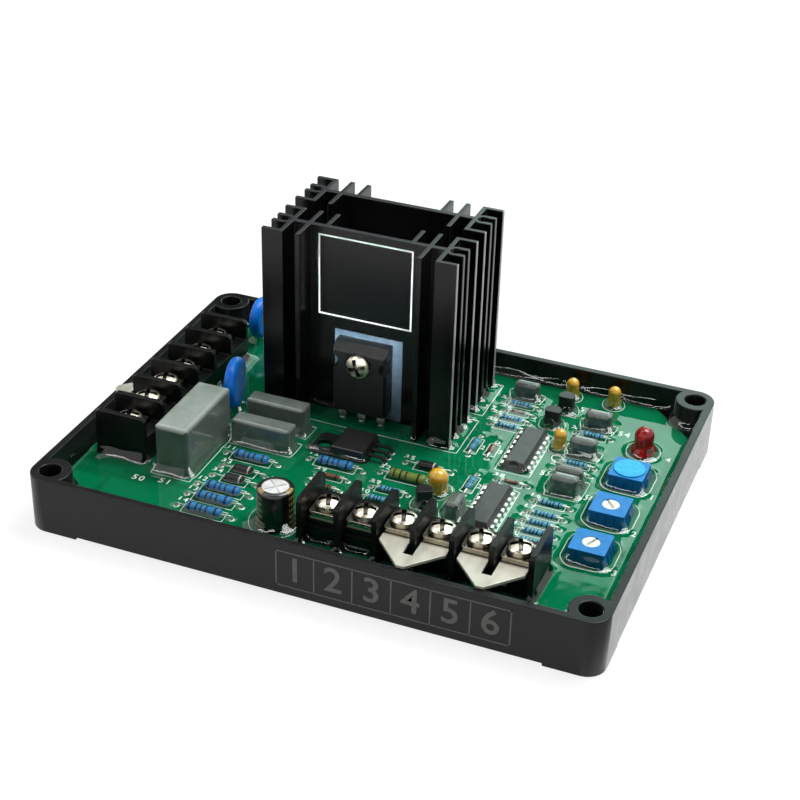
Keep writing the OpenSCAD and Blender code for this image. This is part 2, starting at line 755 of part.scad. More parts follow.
// Round parts turned about their own axes
module disc(d) {
    edge = varistor_t / 2;
    rotate([0, 90, 0]) rotate_extrude() {
        translate([0, -edge]) square([d / 2 - edge, varistor_t]);
        intersection() {
            translate([d / 2 - edge, 0]) circle(edge);
            translate([0, -edge]) square([d, varistor_t]);
        }
    }
}

module discs() {
    for (p = varistors) translate([p[0], p[1], board_z + varistor_lift + p[2] / 2]) rotate([0, 0, p[3]]) disc(p[2]);
}

module disc_varistors() {
    color("#1467cc") discs();
}

module drop_capacitors() {
    color("#e8b21c") for (p = drops) translate([p[0], p[1], board_z + drop_lift]) {
        d = p[2];
        dome_z = p[3] - d / 2;
        foot_d = max(0.86 * d, drop_pitch + lead_d);
        rotate_extrude() {
            polygon([[0, 0], [foot_d / 2, 0], [d / 2, dome_z], [0, dome_z]]);
            translate([0, dome_z]) intersection() {
                circle(d = d);
                square(d);
            }
        }
    }
}

// Half section of the can: bead near the foot, round shoulder
module can_section(r, top, shoulder) {
    polygon([
        [0, 0], [r, 0], [r, can_neck_z - 0.6], [r - can_neck, can_neck_z], [r, can_neck_z + 0.6],
        [r, top - shoulder], [0, top - shoulder]
    ]);
    translate([0, top - shoulder]) square([r - shoulder, shoulder]);
    translate([r - shoulder, top - shoulder]) intersection() {
        circle(shoulder);
        square(shoulder);
    }
}

module electrolytic_sleeve() {
    outer = can_d / 2;
    color("#1f2322") translate([can_place[0], can_place[1], board_z]) rotate_extrude() difference() {
        can_section(outer, can_h, can_shoulder);
        can_section(outer - sleeve_t, can_h - sleeve_t, can_shoulder - sleeve_t);
        square([outer - sleeve_lip, can_h + 1]);
    }
}

module electrolytic_can() {
    groove = 0.35;
    top = can_h - sleeve_t;
    reach = can_d / 2 - sleeve_lip - groove;
    color("#d5d8d6") translate([can_place[0], can_place[1], board_z]) difference() {
        rotate_extrude() can_section(can_d / 2 - sleeve_t, top, can_shoulder - sleeve_t);
        for (a = [45, 135]) rotate([0, 0, a])
            translate([-reach, -groove / 2, top - groove]) cube([2 * reach, groove, 1]);
    }
}

module small_transistors() {
    color("#1b1a1b") for (at = small_transistors_at)
        translate([at[0], at[1], board_z + small_lift]) rotate([0, 0, at[2]]) linear_extrude(small_h)
            intersection() {
                circle(d = small_d);
                translate([-small_d, -small_flat]) square(2 * small_d);
            }
}

module led_lens() {
    color("#a01218") translate([trim_x, led_y, board_z + led_lift]) difference() {
        rotate_extrude() {
            square([led_flange_d / 2, led_flange_h]);
            square([led_d / 2, led_h - led_d / 2]);
            translate([0, led_h - led_d / 2]) intersection() {
                circle(d = led_d);
                square(led_d);
            }
        }
        translate([led_d / 2, -led_d, -1]) cube([led_d, 2 * led_d, led_flange_h + 1]);
    }
}

// Integrated circuits
module circuit_section(wide) {
    half = wide / 2;
    polygon([
        [circuit_draft - half, 0], [half - circuit_draft, 0], [half, circuit_h / 2 - 0.2], [half, circuit_h / 2 + 0.2],
        [half - circuit_draft, circuit_h], [circuit_draft - half, circuit_h], [-half, circuit_h / 2 + 0.2],
        [-half, circuit_h / 2 - 0.2]
    ]);
}

module integrated_circuits() {
    notch_d = 2.4;
    color("#5c5e5c") for (c = circuits) translate([c[0], c[1], board_z + circuit_lift]) rotate([0, 0, c[2]])
        difference() {
            intersection() {
                rotate([90, 0, 0]) linear_extrude(circuit_l, center = true) circuit_section(circuit_w);
                rotate([90, 0, 90]) linear_extrude(circuit_w, center = true) circuit_section(circuit_l);
            }
            translate([0, -circuit_l / 2, circuit_h - notch_d / 2]) cylinder(d = notch_d, h = circuit_h);
        }
}

// Pin with a wide shoulder that leaves the body's side and a narrow leg through the board
module circuit_pin() {
    pin_t = circuit_pin_t;
    shoulder_w = 1.3;
    leg_w = 0.5;
    shoulder_z = circuit_lift + circuit_h / 2;
    out = circuit_row / 2;
    rotate([90, 0, 0]) linear_extrude(shoulder_w, center = true) polygon([
        [circuit_w / 2, shoulder_z - pin_t / 2], [out - pin_t / 2, shoulder_z - pin_t / 2], [out - pin_t / 2, 0],
        [out + pin_t / 2, 0], [out + pin_t / 2, shoulder_z + pin_t / 2], [circuit_w / 2, shoulder_z + pin_t / 2]
    ]);
    translate([out - pin_t / 2, -leg_w / 2, -board_t]) cube([pin_t, leg_w, board_t + 0.2]);
}

module integrated_circuit_pins() {
    color("#d0d0ca") for (c = circuits) translate([c[0], c[1], board_z])
        for (a = [0, 180]) rotate([0, 0, a]) for (k = [0 : circuit_pins - 1])
            translate([0, (k - (circuit_pins - 1) / 2) * circuit_pitch, 0]) circuit_pin();
}

// Trimmers
module at_trimmers() {
    for (p = trimmers) translate([p[0], p[1], board_z]) children();
}

module trimmer_housings() {
    foot = 1;
    lift = 0.4;
    groove_w = 0.4;
    groove_d = 0.25;
    corner = 0.5;
    color("#2f80dc") at_trimmers() difference() {
        union() {
            translate([0, 0, lift]) linear_extrude(trim_h - lift) rounded_rect(trim_w, trim_w, corner);
            for (sx = [-1, 1], sy = [-1, 1])
                translate([sx * (trim_w - foot) / 2 - foot / 2 - sx * corner, sy * (trim_w - foot) / 2 - foot / 2 - sy * corner, 0])
                    cube([foot, foot, lift + 0.1]);
        }
        translate([0, 0, rotor_low - 0.1]) cylinder(d = rotor_d + 2 * rotor_gap, h = trim_h);
        for (a = [0 : 90 : 270]) rotate([0, 0, a]) for (x = [-trim_w / 4, 0, trim_w / 4])
            translate([x - groove_w / 2, -trim_w / 2 - 1, -1]) cube([groove_w, 1 + groove_d, trim_h - 0.6 + 1]);
    }
}

module rotor(k) {
    slot_w = 0.6;
    slot_l = 3;
    slot_h = 0.8;
    mark_d = 0.9;
    p = trimmers[k];
    color("#f1f1ec") translate([p[0], p[1], board_z + rotor_low]) rotate([0, 0, rotor_turns[k]]) difference() {
        cylinder(d = rotor_d, h = rotor_h);
        translate([-slot_l / 2, -slot_w / 2, rotor_h - slot_h]) cube([slot_l, slot_w, 2 * slot_h]);
        translate([rotor_d / 2, 0, rotor_h - slot_h]) cylinder(d = mark_d, h = 2 * slot_h);
    }
}

module sealed_rotor() {
    rotor(0);
}

module middle_rotor() {
    rotor(1);
}

module front_rotor() {
    rotor(2);
}

// Thin disc that seals the back trimmer
module trimmer_seal() {
    color("#35c5fa") translate([trimmers[0][0], trimmers[0][1], board_z + trim_h]) cylinder(d = seal_d, h = seal_t);
}

// Axial parts: a body turned about X, thicker at its ends where the caps are
module axial_body(size) {
    half = size[0] / 2;
    cap = size[2];
    soft = 0.25 * size[1];
    rotate([0, 90, 0]) translate([0, 0, -half]) rotate_extrude() polygon(concat(
        [[0, 0], [size[1] / 2 - soft, 0], [size[1] / 2, soft]],
        cap > 0 ? [[size[1] / 2, cap], [size[3] / 2, cap + soft], [size[3] / 2, size[0] - cap - soft],
            [size[1] / 2, size[0] - cap]] : [],
        [[size[1] / 2, size[0] - soft], [size[1] / 2 - soft, size[0]], [0, size[0]]]
    ));
}

module axial_bodies(list, size) {
    for (at = list) translate([at[0], at[1], board_z + axial_lift + size[1] / 2]) rotate([0, 0, at[2]])
        axial_body(size);
}

module power_resistors() {
    color("#2f8fc9") axial_bodies(power_resistors_at, power_size);
}

module signal_resistors() {
    color("#3d93c4") axial_bodies(signal_resistors_at, signal_size);
}

module axial_choke() {
    color("#a8a83a") axial_bodies(choke_at, choke_size);
}

module rectifier_diodes() {
    color("#1b1a1b") axial_bodies(rectifiers_at, rectifier_size);
}

module glass_diodes() {
    color("#b98a6a") axial_bodies(glass_diodes_at, glass_size);
}

// Leads of one axial part, straight out of both ends and then down through the board
module axial_lead_pair(size) {
    z = axial_lift + size[1] / 2;
    for (s = [0, 180]) rotate([0, 0, s]) {
        translate([size[0] / 2, 0, z]) rotate([0, 90, 0]) rotate([0, 0, 22.5])
            cylinder(d = lead_d, h = (size[4] - size[0]) / 2, $fn = 8);
        translate([size[4] / 2, 0, -board_t]) rotate([0, 0, 22.5])
            cylinder(d = lead_d, h = board_t + z + 0.46 * lead_d, $fn = 8);
    }
}

module leads_of(list, size) {
    for (at = list) translate([at[0], at[1], board_z]) rotate([0, 0, at[2]]) axial_lead_pair(size);
}

module axial_leads() {
    color("#d0d0ca") {
        leads_of(power_resistors_at, power_size);
        leads_of(signal_resistors_at, signal_size);
        leads_of(choke_at, choke_size);
        leads_of(rectifiers_at, rectifier_size);
        leads_of(glass_diodes_at, glass_size);
    }
}

// Straight leads of the upright parts
module radial_leads() {
    color("#d0d0ca") {
        for (p = concat(film_feet, can_feet)) upright_lead(p, board_z);
        for (p = drop_feet) upright_lead(p, board_z + drop_lift);
        for (p = small_feet) upright_lead(p, board_z + small_lift);
        for (p = led_feet) upright_lead(p, board_z + led_lift);
        for (p = trim_feet) upright_lead(p, board_z + 0.4);
        difference() {
            for (p = varistor_feet) upright_lead(p, board_z + varistor_lift + varistor_pitch / 2);
            discs();
        }
    }
}

tray();
potting_resin();
circuit_board();
front_terminal_block();
left_terminal_block();
terminal_contacts();
clamp_washers();
terminal_screws();
link_plates();
front_heat_sink();
rear_heat_sink();
heat_sink_pins();
insulating_pads();
power_transistors();
power_transistor_leads();
transistor_screws();
flat_transistor_body();
flat_transistor_tab();
large_film_capacitor();
medium_film_capacitors();
small_film_capacitors();
disc_varistors();
drop_capacitors();
electrolytic_sleeve();
electrolytic_can();
small_transistors();
integrated_circuits();
integrated_circuit_pins();
trimmer_housings();
trimmer_seal();
sealed_rotor();
middle_rotor();
front_rotor();
led_lens();
power_resistors();
signal_resistors();
axial_choke();
rectifier_diodes();
glass_diodes();
axial_leads();
radial_leads();
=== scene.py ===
import math
import random

import bpy
import numpy as np
from mathutils import Matrix, Vector


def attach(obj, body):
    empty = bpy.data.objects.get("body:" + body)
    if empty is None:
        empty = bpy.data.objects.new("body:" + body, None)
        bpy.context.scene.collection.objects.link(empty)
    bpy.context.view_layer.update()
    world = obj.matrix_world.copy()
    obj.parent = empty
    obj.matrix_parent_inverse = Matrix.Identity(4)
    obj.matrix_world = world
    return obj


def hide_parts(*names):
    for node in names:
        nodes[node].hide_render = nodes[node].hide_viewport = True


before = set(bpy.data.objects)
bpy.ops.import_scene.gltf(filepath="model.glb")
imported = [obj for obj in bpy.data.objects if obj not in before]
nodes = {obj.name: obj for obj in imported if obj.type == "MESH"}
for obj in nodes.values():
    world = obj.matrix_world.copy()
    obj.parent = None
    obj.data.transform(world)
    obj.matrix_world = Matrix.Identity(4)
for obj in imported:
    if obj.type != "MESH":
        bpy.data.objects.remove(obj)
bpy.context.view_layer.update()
mm = 0.001
body = "regulator"
print("frame loaded:", len(nodes), "nodes")


def linear(code):  # sRGB hex to linear red, green, blue and full alpha
    parts = [int(code[k:k + 2], 16) / 255 for k in (1, 3, 5)]
    return tuple(c / 12.92 if c <= 0.04045 else ((c + 0.055) / 1.055) ** 2.4 for c in parts) + (1.0,)


def addNode(tree, kind, settings=None, links=None):
    node = tree.nodes.new(kind)
    for key, value in (settings or {}).items():
        if key == "ramp":  # list of (position, hex colour)
            stops = node.color_ramp.elements
            while len(stops) < len(value):
                stops.new(0.5)
            for stop, (place, code) in zip(stops, value):
                stop.position = place
                stop.color = linear(code)
        elif isinstance(key, int) or key in node.inputs:
            node.inputs[key].default_value = value
        else:
            setattr(node, key, value)
    for key, socket in (links or {}).items():
        tree.links.new(socket, node.inputs[key])
    return node


def startMaterial(name, settings):
    mat = bpy.data.materials.new(name)
    mat.use_nodes = True
    tree = mat.node_tree
    shader = tree.nodes["Principled BSDF"]
    for key, value in settings.items():
        shader.inputs[key].default_value = linear(value) if isinstance(value, str) else value
    place = addNode(tree, "ShaderNodeTexCoord").outputs["Object"]
    return mat, tree, shader, place


def perMm(size):  # texture scale whose pattern repeats about every size mm
    return 1 / (size * mm)


# Moulded, dipped and plated surfaces: two tones, a roughness range and a fine relief.
# dark, light: hex tones; blotch, grain and the reach of the painted shade in recesses: sizes in mm;
# stretch: pattern stretch per axis; the painted side shade: share of the tone that is left on the sides
def surfaceMaterial(name, look, settings=None):
    mat, tree, shader, place = startMaterial(name, settings or {})
    spread = place
    if "stretch" in look:
        drawn = addNode(tree, "ShaderNodeMapping", {"Scale": look["stretch"]}, {"Vector": place})
        spread = drawn.outputs["Vector"]
    blotch = addNode(tree, "ShaderNodeTexNoise", {"Scale": perMm(look["blotch"]), "Detail": 4.0},
                     {"Vector": spread})
    tone = addNode(tree, "ShaderNodeValToRGB", {"ramp": [(0.32, look["dark"]), (0.68, look["light"])]},
                   {"Fac": blotch.outputs["Fac"]})
    colour = tone.outputs["Color"]
    if "paintedShadeReach" in look:  # painted shade in recesses and along contact lines, by how far a point is shut in
        shut = addNode(tree, "ShaderNodeAmbientOcclusion", {"Distance": look["paintedShadeReach"] * mm})
        recessShade = addNode(tree, "ShaderNodeMapRange", {"From Min": 0.45, "From Max": 0.9, "To Min": 0.04},
                        {"Value": shut.outputs["AO"]})
        colour = addNode(tree, "ShaderNodeVectorMath", {"operation": "SCALE"},
                         {0: colour, "Scale": recessShade.outputs["Result"]}).outputs["Vector"]
    if "sideShade" in look:  # painted shade: the sides keep only part of the tone, the top all of it
        facing = addNode(tree, "ShaderNodeNewGeometry")
        upward = addNode(tree, "ShaderNodeSeparateXYZ", None, {"Vector": facing.outputs["Normal"]})
        paintedSideShade = addNode(tree, "ShaderNodeMapRange", {"From Min": 0.2, "From Max": 0.9, "To Min": look["sideShade"]},
                      {"Value": upward.outputs["Z"]})
        colour = addNode(tree, "ShaderNodeVectorMath", {"operation": "SCALE"},
                         {0: colour, "Scale": paintedSideShade.outputs["Result"]}).outputs["Vector"]
    tree.links.new(colour, shader.inputs["Base Color"])
    low, high = look["rough"]
    rough = addNode(tree, "ShaderNodeMapRange",
                    {"From Min": 0.3, "From Max": 0.7, "To Min": low, "To Max": high},
                    {"Value": blotch.outputs["Fac"]})
    tree.links.new(rough.outputs["Result"], shader.inputs["Roughness"])
    grain = addNode(tree, "ShaderNodeTexNoise", {"Scale": perMm(look["grain"]), "Detail": 3.0},
                    {"Vector": spread})
    relief = addNode(tree, "ShaderNodeBump", {"Strength": look["relief"], "Distance": 0.05 * mm},
                     {"Height": grain.outputs["Fac"]})
    tree.links.new(relief.outputs["Normal"], shader.inputs["Normal"])
    return mat


# ABS, injection moulded in a spark-eroded tool: dull black, paler at a glance (grain drawn coarser than real)
trayAbs = surfaceMaterial("mouldedBlackAbs", {
    "dark": "#090a0a", "light": "#111212", "blotch": 6, "grain": 0.45, "rough": (0.25, 0.37), "relief": 0.35},
    {"Specular IOR Level": 0.3, "Sheen Weight": 1.0, "Sheen Roughness": 0.22})
# PBT, injection moulded: smoother and a little glossier than the tray
blockPbt = surfaceMaterial("mouldedBlackPbt", {
    "dark": "#070808", "light": "#0d0e0e", "blotch": 3, "grain": 0.4, "rough": (0.3, 0.4), "relief": 0.12},
    {"Specular IOR Level": 0.28})
# Filled epoxy, transfer moulded: dull black with a fine grain
blackEpoxy = surfaceMaterial("mouldedBlackEpoxy", {
    "dark": "#09090a", "light": "#101011", "blotch": 1.6, "grain": 0.25, "rough": (0.34, 0.46),
    "relief": 0.3})
# The same epoxy under a thin film of resin
wetEpoxy = surfaceMaterial("resinCoatedBlackEpoxy", {
    "dark": "#09090a", "light": "#101011", "blotch": 1.6, "grain": 1.4, "rough": (0.34, 0.46), "relief": 0.3},
    {"Coat Weight": 1.0, "Coat Roughness": 0.04})
# The same epoxy with a greyer filler
greyEpoxy = surfaceMaterial("mouldedGreyEpoxy", {
    "dark": "#353736", "light": "#454745", "blotch": 2.5, "grain": 0.25, "rough": (0.32, 0.42),
    "relief": 0.25})
# PBT box of the large film capacitor, moulded: grey-green with a wet gloss; painted light and shade: a
# lighter tone on top and darker sides
greyPbt = surfaceMaterial("mouldedGreyPbt", {
    "dark": "#8f9b92", "light": "#a2ada5", "blotch": 5, "grain": 1.2, "rough": (0.3, 0.42), "relief": 0.15,
    "sideShade": 0.45},
    {"Coat Weight": 1.0, "Coat Roughness": 0.05})
# The same box on the medium ones, a darker copy as painted shade
paintedShadePbt = surfaceMaterial("mouldedPbtPaintedShade", {
    "dark": "#6a746d", "light": "#7d8780", "blotch": 4, "grain": 1.2, "rough": (0.3, 0.42), "relief": 0.15},
    {"Coat Weight": 1.0, "Coat Roughness": 0.05})
# The same box on the small ones, darker still
smokePbt = surfaceMaterial("mouldedSmokePbt", {
    "dark": "#56615b", "light": "#6c7771", "blotch": 2.5, "grain": 0.5, "rough": (0.2, 0.3), "relief": 0.12},
    {"Coat Weight": 0.8, "Coat Roughness": 0.06})
# Epoxy powder coating, dipped and cured: glossy and slightly wavy
blueCoat = surfaceMaterial("dippedBlueEpoxy", {
    "dark": "#0670ea", "light": "#1290ff", "blotch": 3, "grain": 1.8, "rough": (0.3, 0.4), "relief": 0.4},
    {"Specular IOR Level": 0.35})
yellowCoat = surfaceMaterial("dippedYellowEpoxy", {
    "dark": "#e0a214", "light": "#f4c02c", "blotch": 1.8, "grain": 1.2, "rough": (0.2, 0.3), "relief": 0.4},
    {"Coat Weight": 0.8, "Coat Roughness": 0.06})
# Nylon trimmer housing, moulded and glossy
blueNylon = surfaceMaterial("mouldedBlueNylon", {
    "dark": "#1474bd", "light": "#2088d0", "blotch": 2, "grain": 0.6, "rough": (0.36, 0.48), "relief": 0.2},
    {"Specular IOR Level": 0.3})
# The same nylon in white, for the rotors
whiteNylon = surfaceMaterial("mouldedWhiteNylon", {
    "dark": "#e2e1da", "light": "#efeeea", "blotch": 1.5, "grain": 0.4, "rough": (0.34, 0.44),
    "relief": 0.15})
# Polyester seal film over the back trimmer, slightly cloudy
sealFilm = surfaceMaterial("bluePolyesterFilm", {
    "dark": "#0f9fe0", "light": "#22bcf0", "blotch": 2.2, "grain": 1.0, "rough": (0.2, 0.32), "relief": 0.2},
    {"Specular IOR Level": 0.25})
# Silicone pad with ceramic filler: dull blue-grey sheet
padSilicone = surfaceMaterial("filledSiliconeSheet", {
    "dark": "#6d88a4", "light": "#7f99b3", "blotch": 2, "grain": 0.4, "rough": (0.55, 0.7), "relief": 0.3})
# Steel, nickel plated: bright and warm, with small dull patches and painted shade in its recesses
nickelSteel = surfaceMaterial("nickelPlatedSteel", {
    "dark": "#c4bba6", "light": "#e6e0d0", "blotch": 0.9, "grain": 0.6, "rough": (0.22, 0.36), "relief": 1.0,
    "paintedShadeReach": 1.6},
    {"Metallic": 1.0})
# The same plating on the flat washers, brighter polished and so darker where it mirrors the room, with
# painted shade where they meet other parts
washerSteel = surfaceMaterial("polishedNickelSteel", {
    "dark": "#a09787", "light": "#c3bbab", "blotch": 1.2, "grain": 0.6, "rough": (0.1, 0.22), "relief": 0.4,
    "paintedShadeReach": 0.5},
    {"Metallic": 1.0})
# Brass, tin plated: pale, soft and slightly streaked, with painted shade where parts meet
tinPlate = surfaceMaterial("tinPlatedBrass", {
    "dark": "#b4b2a5", "light": "#c2c0b4", "blotch": 2.2, "grain": 0.4, "rough": (0.48, 0.6), "relief": 0.25,
    "paintedShadeReach": 0.6, "stretch": (1.0, 0.35, 1.0)}, {"Metallic": 1.0})
# Copper wire, hot tinned: soft grey, uneven
tinnedWire = surfaceMaterial("tinnedCopper", {
    "dark": "#b0b1ac", "light": "#d6d7d2", "blotch": 0.9, "grain": 0.3, "rough": (0.3, 0.46), "relief": 0.3},
    {"Metallic": 1.0})
# Tin solder, wetted out and set: paler and duller than the wire
solderTin = surfaceMaterial("setTinSolder", {
    "dark": "#dcddd9", "light": "#f0f1ee", "blotch": 0.9, "grain": 0.3, "rough": (0.5, 0.64), "relief": 0.2},
    {"Metallic": 1.0})
# Aluminium can, drawn: bright with fine drawing lines
drawnAluminium = surfaceMaterial("drawnAluminium", {
    "dark": "#d6d8d6", "light": "#e6e8e6", "blotch": 1.6, "grain": 0.25, "rough": (0.5, 0.62),
    "relief": 0.15},
    {"Metallic": 1.0})
# Screen printing ink: flat white, thin at its edges
whiteInk = surfaceMaterial("screenPrintedWhiteInk", {
    "dark": "#e8ece8", "light": "#fbfcfa", "blotch": 0.7, "grain": 0.2, "rough": (0.5, 0.65), "relief": 0.2})
# Pad printing ink on the tray: grey, a little uneven
greyInk = surfaceMaterial("padPrintedGreyInk", {
    "dark": "#868782", "light": "#9c9d97", "blotch": 0.9, "grain": 0.25, "rough": (0.5, 0.62), "relief": 0.2})
# Painted highlight: a pale, glossy tone for the rim of the resin, in place of its glint
paintedRimGlint = surfaceMaterial("paintedRimGlintEpoxy", {
    "dark": "#b9d4c8", "light": "#e4efe9", "blotch": 3.5, "grain": 0.6, "rough": (0.12, 0.24), "relief": 0.2})
print("plain materials ready")

# Aluminium, extruded and black anodised: die lines along its height, duller saw-cut ends, and a painted
# highlight: the outer fin tips take a pale tone
sinkAt = (-12.5, (16.9, 37.1))  # x of both sinks, y of each
finTipHighlight = {"from": 26.15, "tone": "#a8aaac"}  # mm from the middle
anodised, tree, shader, place = startMaterial("blackAnodisedAluminium", {"Specular IOR Level": 0.36})
along = addNode(tree, "ShaderNodeMapping", {"Scale": (1.0, 1.0, 0.008)}, {"Vector": place})
lines = addNode(tree, "ShaderNodeTexNoise", {"Scale": perMm(1.4), "Detail": 3.0},
                {"Vector": along.outputs["Vector"]})
facing = addNode(tree, "ShaderNodeNewGeometry")
upward = addNode(tree, "ShaderNodeSeparateXYZ", None, {"Vector": facing.outputs["Normal"]})
cutEnd = addNode(tree, "ShaderNodeMath", {"operation": "GREATER_THAN", 1: 0.9}, {0: upward.outputs["Z"]})
tone = addNode(tree, "ShaderNodeValToRGB", {"ramp": [(0.3, "#040405"), (0.7, "#0a0a0b")]},
               {"Fac": lines.outputs["Fac"]})
# painted highlight: the fins further than the given distance from the sink's middle take the pale tone
across = addNode(tree, "ShaderNodeSeparateXYZ", None, {"Vector": place})
within = addNode(tree, "ShaderNodeMath", {"operation": "COMPARE", 1: sinkAt[0] * mm, 2: finTipHighlight["from"] * mm},
                 {0: across.outputs["X"]})
tipHighlight = addNode(tree, "ShaderNodeMix", {"data_type": "RGBA", 6: linear(finTipHighlight["tone"])},
                 {0: within.outputs["Value"], 7: tone.outputs["Color"]})
ends = addNode(tree, "ShaderNodeMix", {"data_type": "RGBA", 7: linear("#3a3c3e")},
               {0: cutEnd.outputs["Value"], 6: tipHighlight.outputs[2]})
tree.links.new(ends.outputs[2], shader.inputs["Base Color"])
gloss = addNode(tree, "ShaderNodeMapRange", {"To Min": 0.18, "To Max": 0.3}, {"Value": lines.outputs["Fac"]})
tree.links.new(gloss.outputs["Result"], shader.inputs["Roughness"])
relief = addNode(tree, "ShaderNodeBump", {"Strength": 0.12, "Distance": 0.04 * mm},
                 {"Height": lines.outputs["Fac"]})
tree.links.new(relief.outputs["Normal"], shader.inputs["Normal"])

# Glass-epoxy laminate under green solder mask: a little lighter over the copper areas
boardMask, tree, shader, place = startMaterial("greenSolderMask", {
    "Roughness": 0.6, "Specular IOR Level": 0.0})
areas = addNode(tree, "ShaderNodeTexVoronoi", {"Scale": perMm(12), "distance": "CHEBYCHEV", "feature": "F1"},
                {"Vector": place})
copper = addNode(tree, "ShaderNodeValToRGB", {"ramp": [(0.5, "#04754b"), (0.56, "#046941")]},
                 {"Fac": areas.outputs["Distance"]})
tree.links.new(copper.outputs["Color"], shader.inputs["Base Color"])
raised = addNode(tree, "ShaderNodeBump", {"Strength": 0.2, "Distance": 0.04 * mm, "invert": True},
                 {"Height": areas.outputs["Distance"]})
tree.links.new(raised.outputs["Normal"], shader.inputs["Normal"])

# Clear casting epoxy: glossy skin that bends what lies under it; light from lamps passes straight
clearResin, tree, skin, place = startMaterial("clearCastEpoxy", {
    "Base Color": "#f4fbf7", "Transmission Weight": 1.0, "IOR": 1.5, "Roughness": 0.05})
ripple = addNode(tree, "ShaderNodeTexNoise", {"Scale": perMm(9), "Detail": 2.0}, {"Vector": place})
wave = addNode(tree, "ShaderNodeBump", {"Strength": 0.2, "Distance": 0.25 * mm},
               {"Height": ripple.outputs["Fac"]})
tree.links.new(wave.outputs["Normal"], skin.inputs["Normal"])
ray = addNode(tree, "ShaderNodeLightPath")
lit = addNode(tree, "ShaderNodeMath", {"operation": "MAXIMUM"},
              {0: ray.outputs["Is Shadow Ray"], 1: ray.outputs["Is Diffuse Ray"]})
clear = addNode(tree, "ShaderNodeBsdfTransparent")
joined = addNode(tree, "ShaderNodeMixShader", None,
                 {0: lit.outputs["Value"], 1: skin.outputs["BSDF"], 2: clear.outputs["BSDF"]})
tree.links.new(joined.outputs["Shader"], tree.nodes["Material Output"].inputs["Surface"])

# Lacquer over ceramic rods and moulded diodes: body and band colours ride on the mesh
rodLacquer, tree, shader, place = startMaterial("bandedLacquer", {"Specular IOR Level": 0.3})
paint = addNode(tree, "ShaderNodeAttribute", {"attribute_name": "bandColour"})
speck = addNode(tree, "ShaderNodeTexNoise", {"Scale": perMm(0.8), "Detail": 3.0}, {"Vector": place})
uneven = addNode(tree, "ShaderNodeMapRange", {"To Min": 0.75, "To Max": 1.2}, {"Value": speck.outputs["Fac"]})
mixed = addNode(tree, "ShaderNodeVectorMath", {"operation": "SCALE"},
                {0: paint.outputs["Color"], "Scale": uneven.outputs["Result"]})
tree.links.new(mixed.outputs["Vector"], shader.inputs["Base Color"])
gloss = addNode(tree, "ShaderNodeMapRange", {"To Min": 0.26, "To Max": 0.44}, {"Value": speck.outputs["Fac"]})
tree.links.new(gloss.outputs["Result"], shader.inputs["Roughness"])
relief = addNode(tree, "ShaderNodeBump", {"Strength": 0.12, "Distance": 0.05 * mm},
                 {"Height": speck.outputs["Fac"]})
tree.links.new(relief.outputs["Normal"], shader.inputs["Normal"])

# PVC sleeve, heat shrunk: dark green gloss with rows of small gold marks at two sides
canLook = {"centre": (-12.8, -38.3), "between": -67, "from": 46, "to": 80, "rowPitch": 1.7, "markTurn": 9}
pvcSleeve, tree, shader, place = startMaterial("shrunkPvcSleeve", {
    "Coat Weight": 0.6, "Coat Roughness": 0.08})
local = addNode(tree, "ShaderNodeVectorMath", {"operation": "SUBTRACT",
                1: (canLook["centre"][0] * mm, canLook["centre"][1] * mm, 0)}, {0: place})
axes = addNode(tree, "ShaderNodeSeparateXYZ", None, {"Vector": local.outputs["Vector"]})
turn = addNode(tree, "ShaderNodeMath", {"operation": "ARCTAN2"}, {0: axes.outputs["Y"], 1: axes.outputs["X"]})
away = addNode(tree, "ShaderNodeMath", {"operation": "SUBTRACT", 1: math.radians(canLook["between"])},
               {0: turn.outputs["Value"]})
off = addNode(tree, "ShaderNodeMath", {"operation": "ABSOLUTE"}, {0: away.outputs["Value"]})
after = addNode(tree, "ShaderNodeMath", {"operation": "GREATER_THAN", 1: math.radians(canLook["from"])},
                {0: off.outputs["Value"]})
before = addNode(tree, "ShaderNodeMath", {"operation": "LESS_THAN", 1: math.radians(canLook["to"])},
                 {0: off.outputs["Value"]})
rows = addNode(tree, "ShaderNodeMath", {"operation": "MULTIPLY", 1: perMm(canLook["rowPitch"])},
               {0: axes.outputs["Z"]})
rowPart = addNode(tree, "ShaderNodeMath", {"operation": "FRACT"}, {0: rows.outputs["Value"]})
inRow = addNode(tree, "ShaderNodeMath", {"operation": "LESS_THAN", 1: 0.55}, {0: rowPart.outputs["Value"]})
marks = addNode(tree, "ShaderNodeMath", {"operation": "DIVIDE", 1: math.radians(canLook["markTurn"])},
                {0: off.outputs["Value"]})
markPart = addNode(tree, "ShaderNodeMath", {"operation": "FRACT"}, {0: marks.outputs["Value"]})
inMark = addNode(tree, "ShaderNodeMath", {"operation": "LESS_THAN", 1: 0.6}, {0: markPart.outputs["Value"]})
side = addNode(tree, "ShaderNodeMath", {"operation": "MULTIPLY"},
               {0: after.outputs["Value"], 1: before.outputs["Value"]})
mark = addNode(tree, "ShaderNodeMath", {"operation": "MULTIPLY"},
               {0: inRow.outputs["Value"], 1: inMark.outputs["Value"]})
gold = addNode(tree, "ShaderNodeMath", {"operation": "MULTIPLY"},
               {0: side.outputs["Value"], 1: mark.outputs["Value"]})
speck = addNode(tree, "ShaderNodeTexNoise", {"Scale": perMm(2.5), "Detail": 3.0}, {"Vector": place})
dark = addNode(tree, "ShaderNodeValToRGB", {"ramp": [(0.3, "#0a0f0d"), (0.7, "#121815")]},
               {"Fac": speck.outputs["Fac"]})
inked = addNode(tree, "ShaderNodeMix", {"data_type": "RGBA", 7: linear("#c3a75c")},
                {0: gold.outputs["Value"], 6: dark.outputs["Color"]})
tree.links.new(inked.outputs[2], shader.inputs["Base Color"])
gloss = addNode(tree, "ShaderNodeMapRange", {"To Min": 0.25, "To Max": 0.4}, {"Value": speck.outputs["Fac"]})
tree.links.new(gloss.outputs["Result"], shader.inputs["Roughness"])

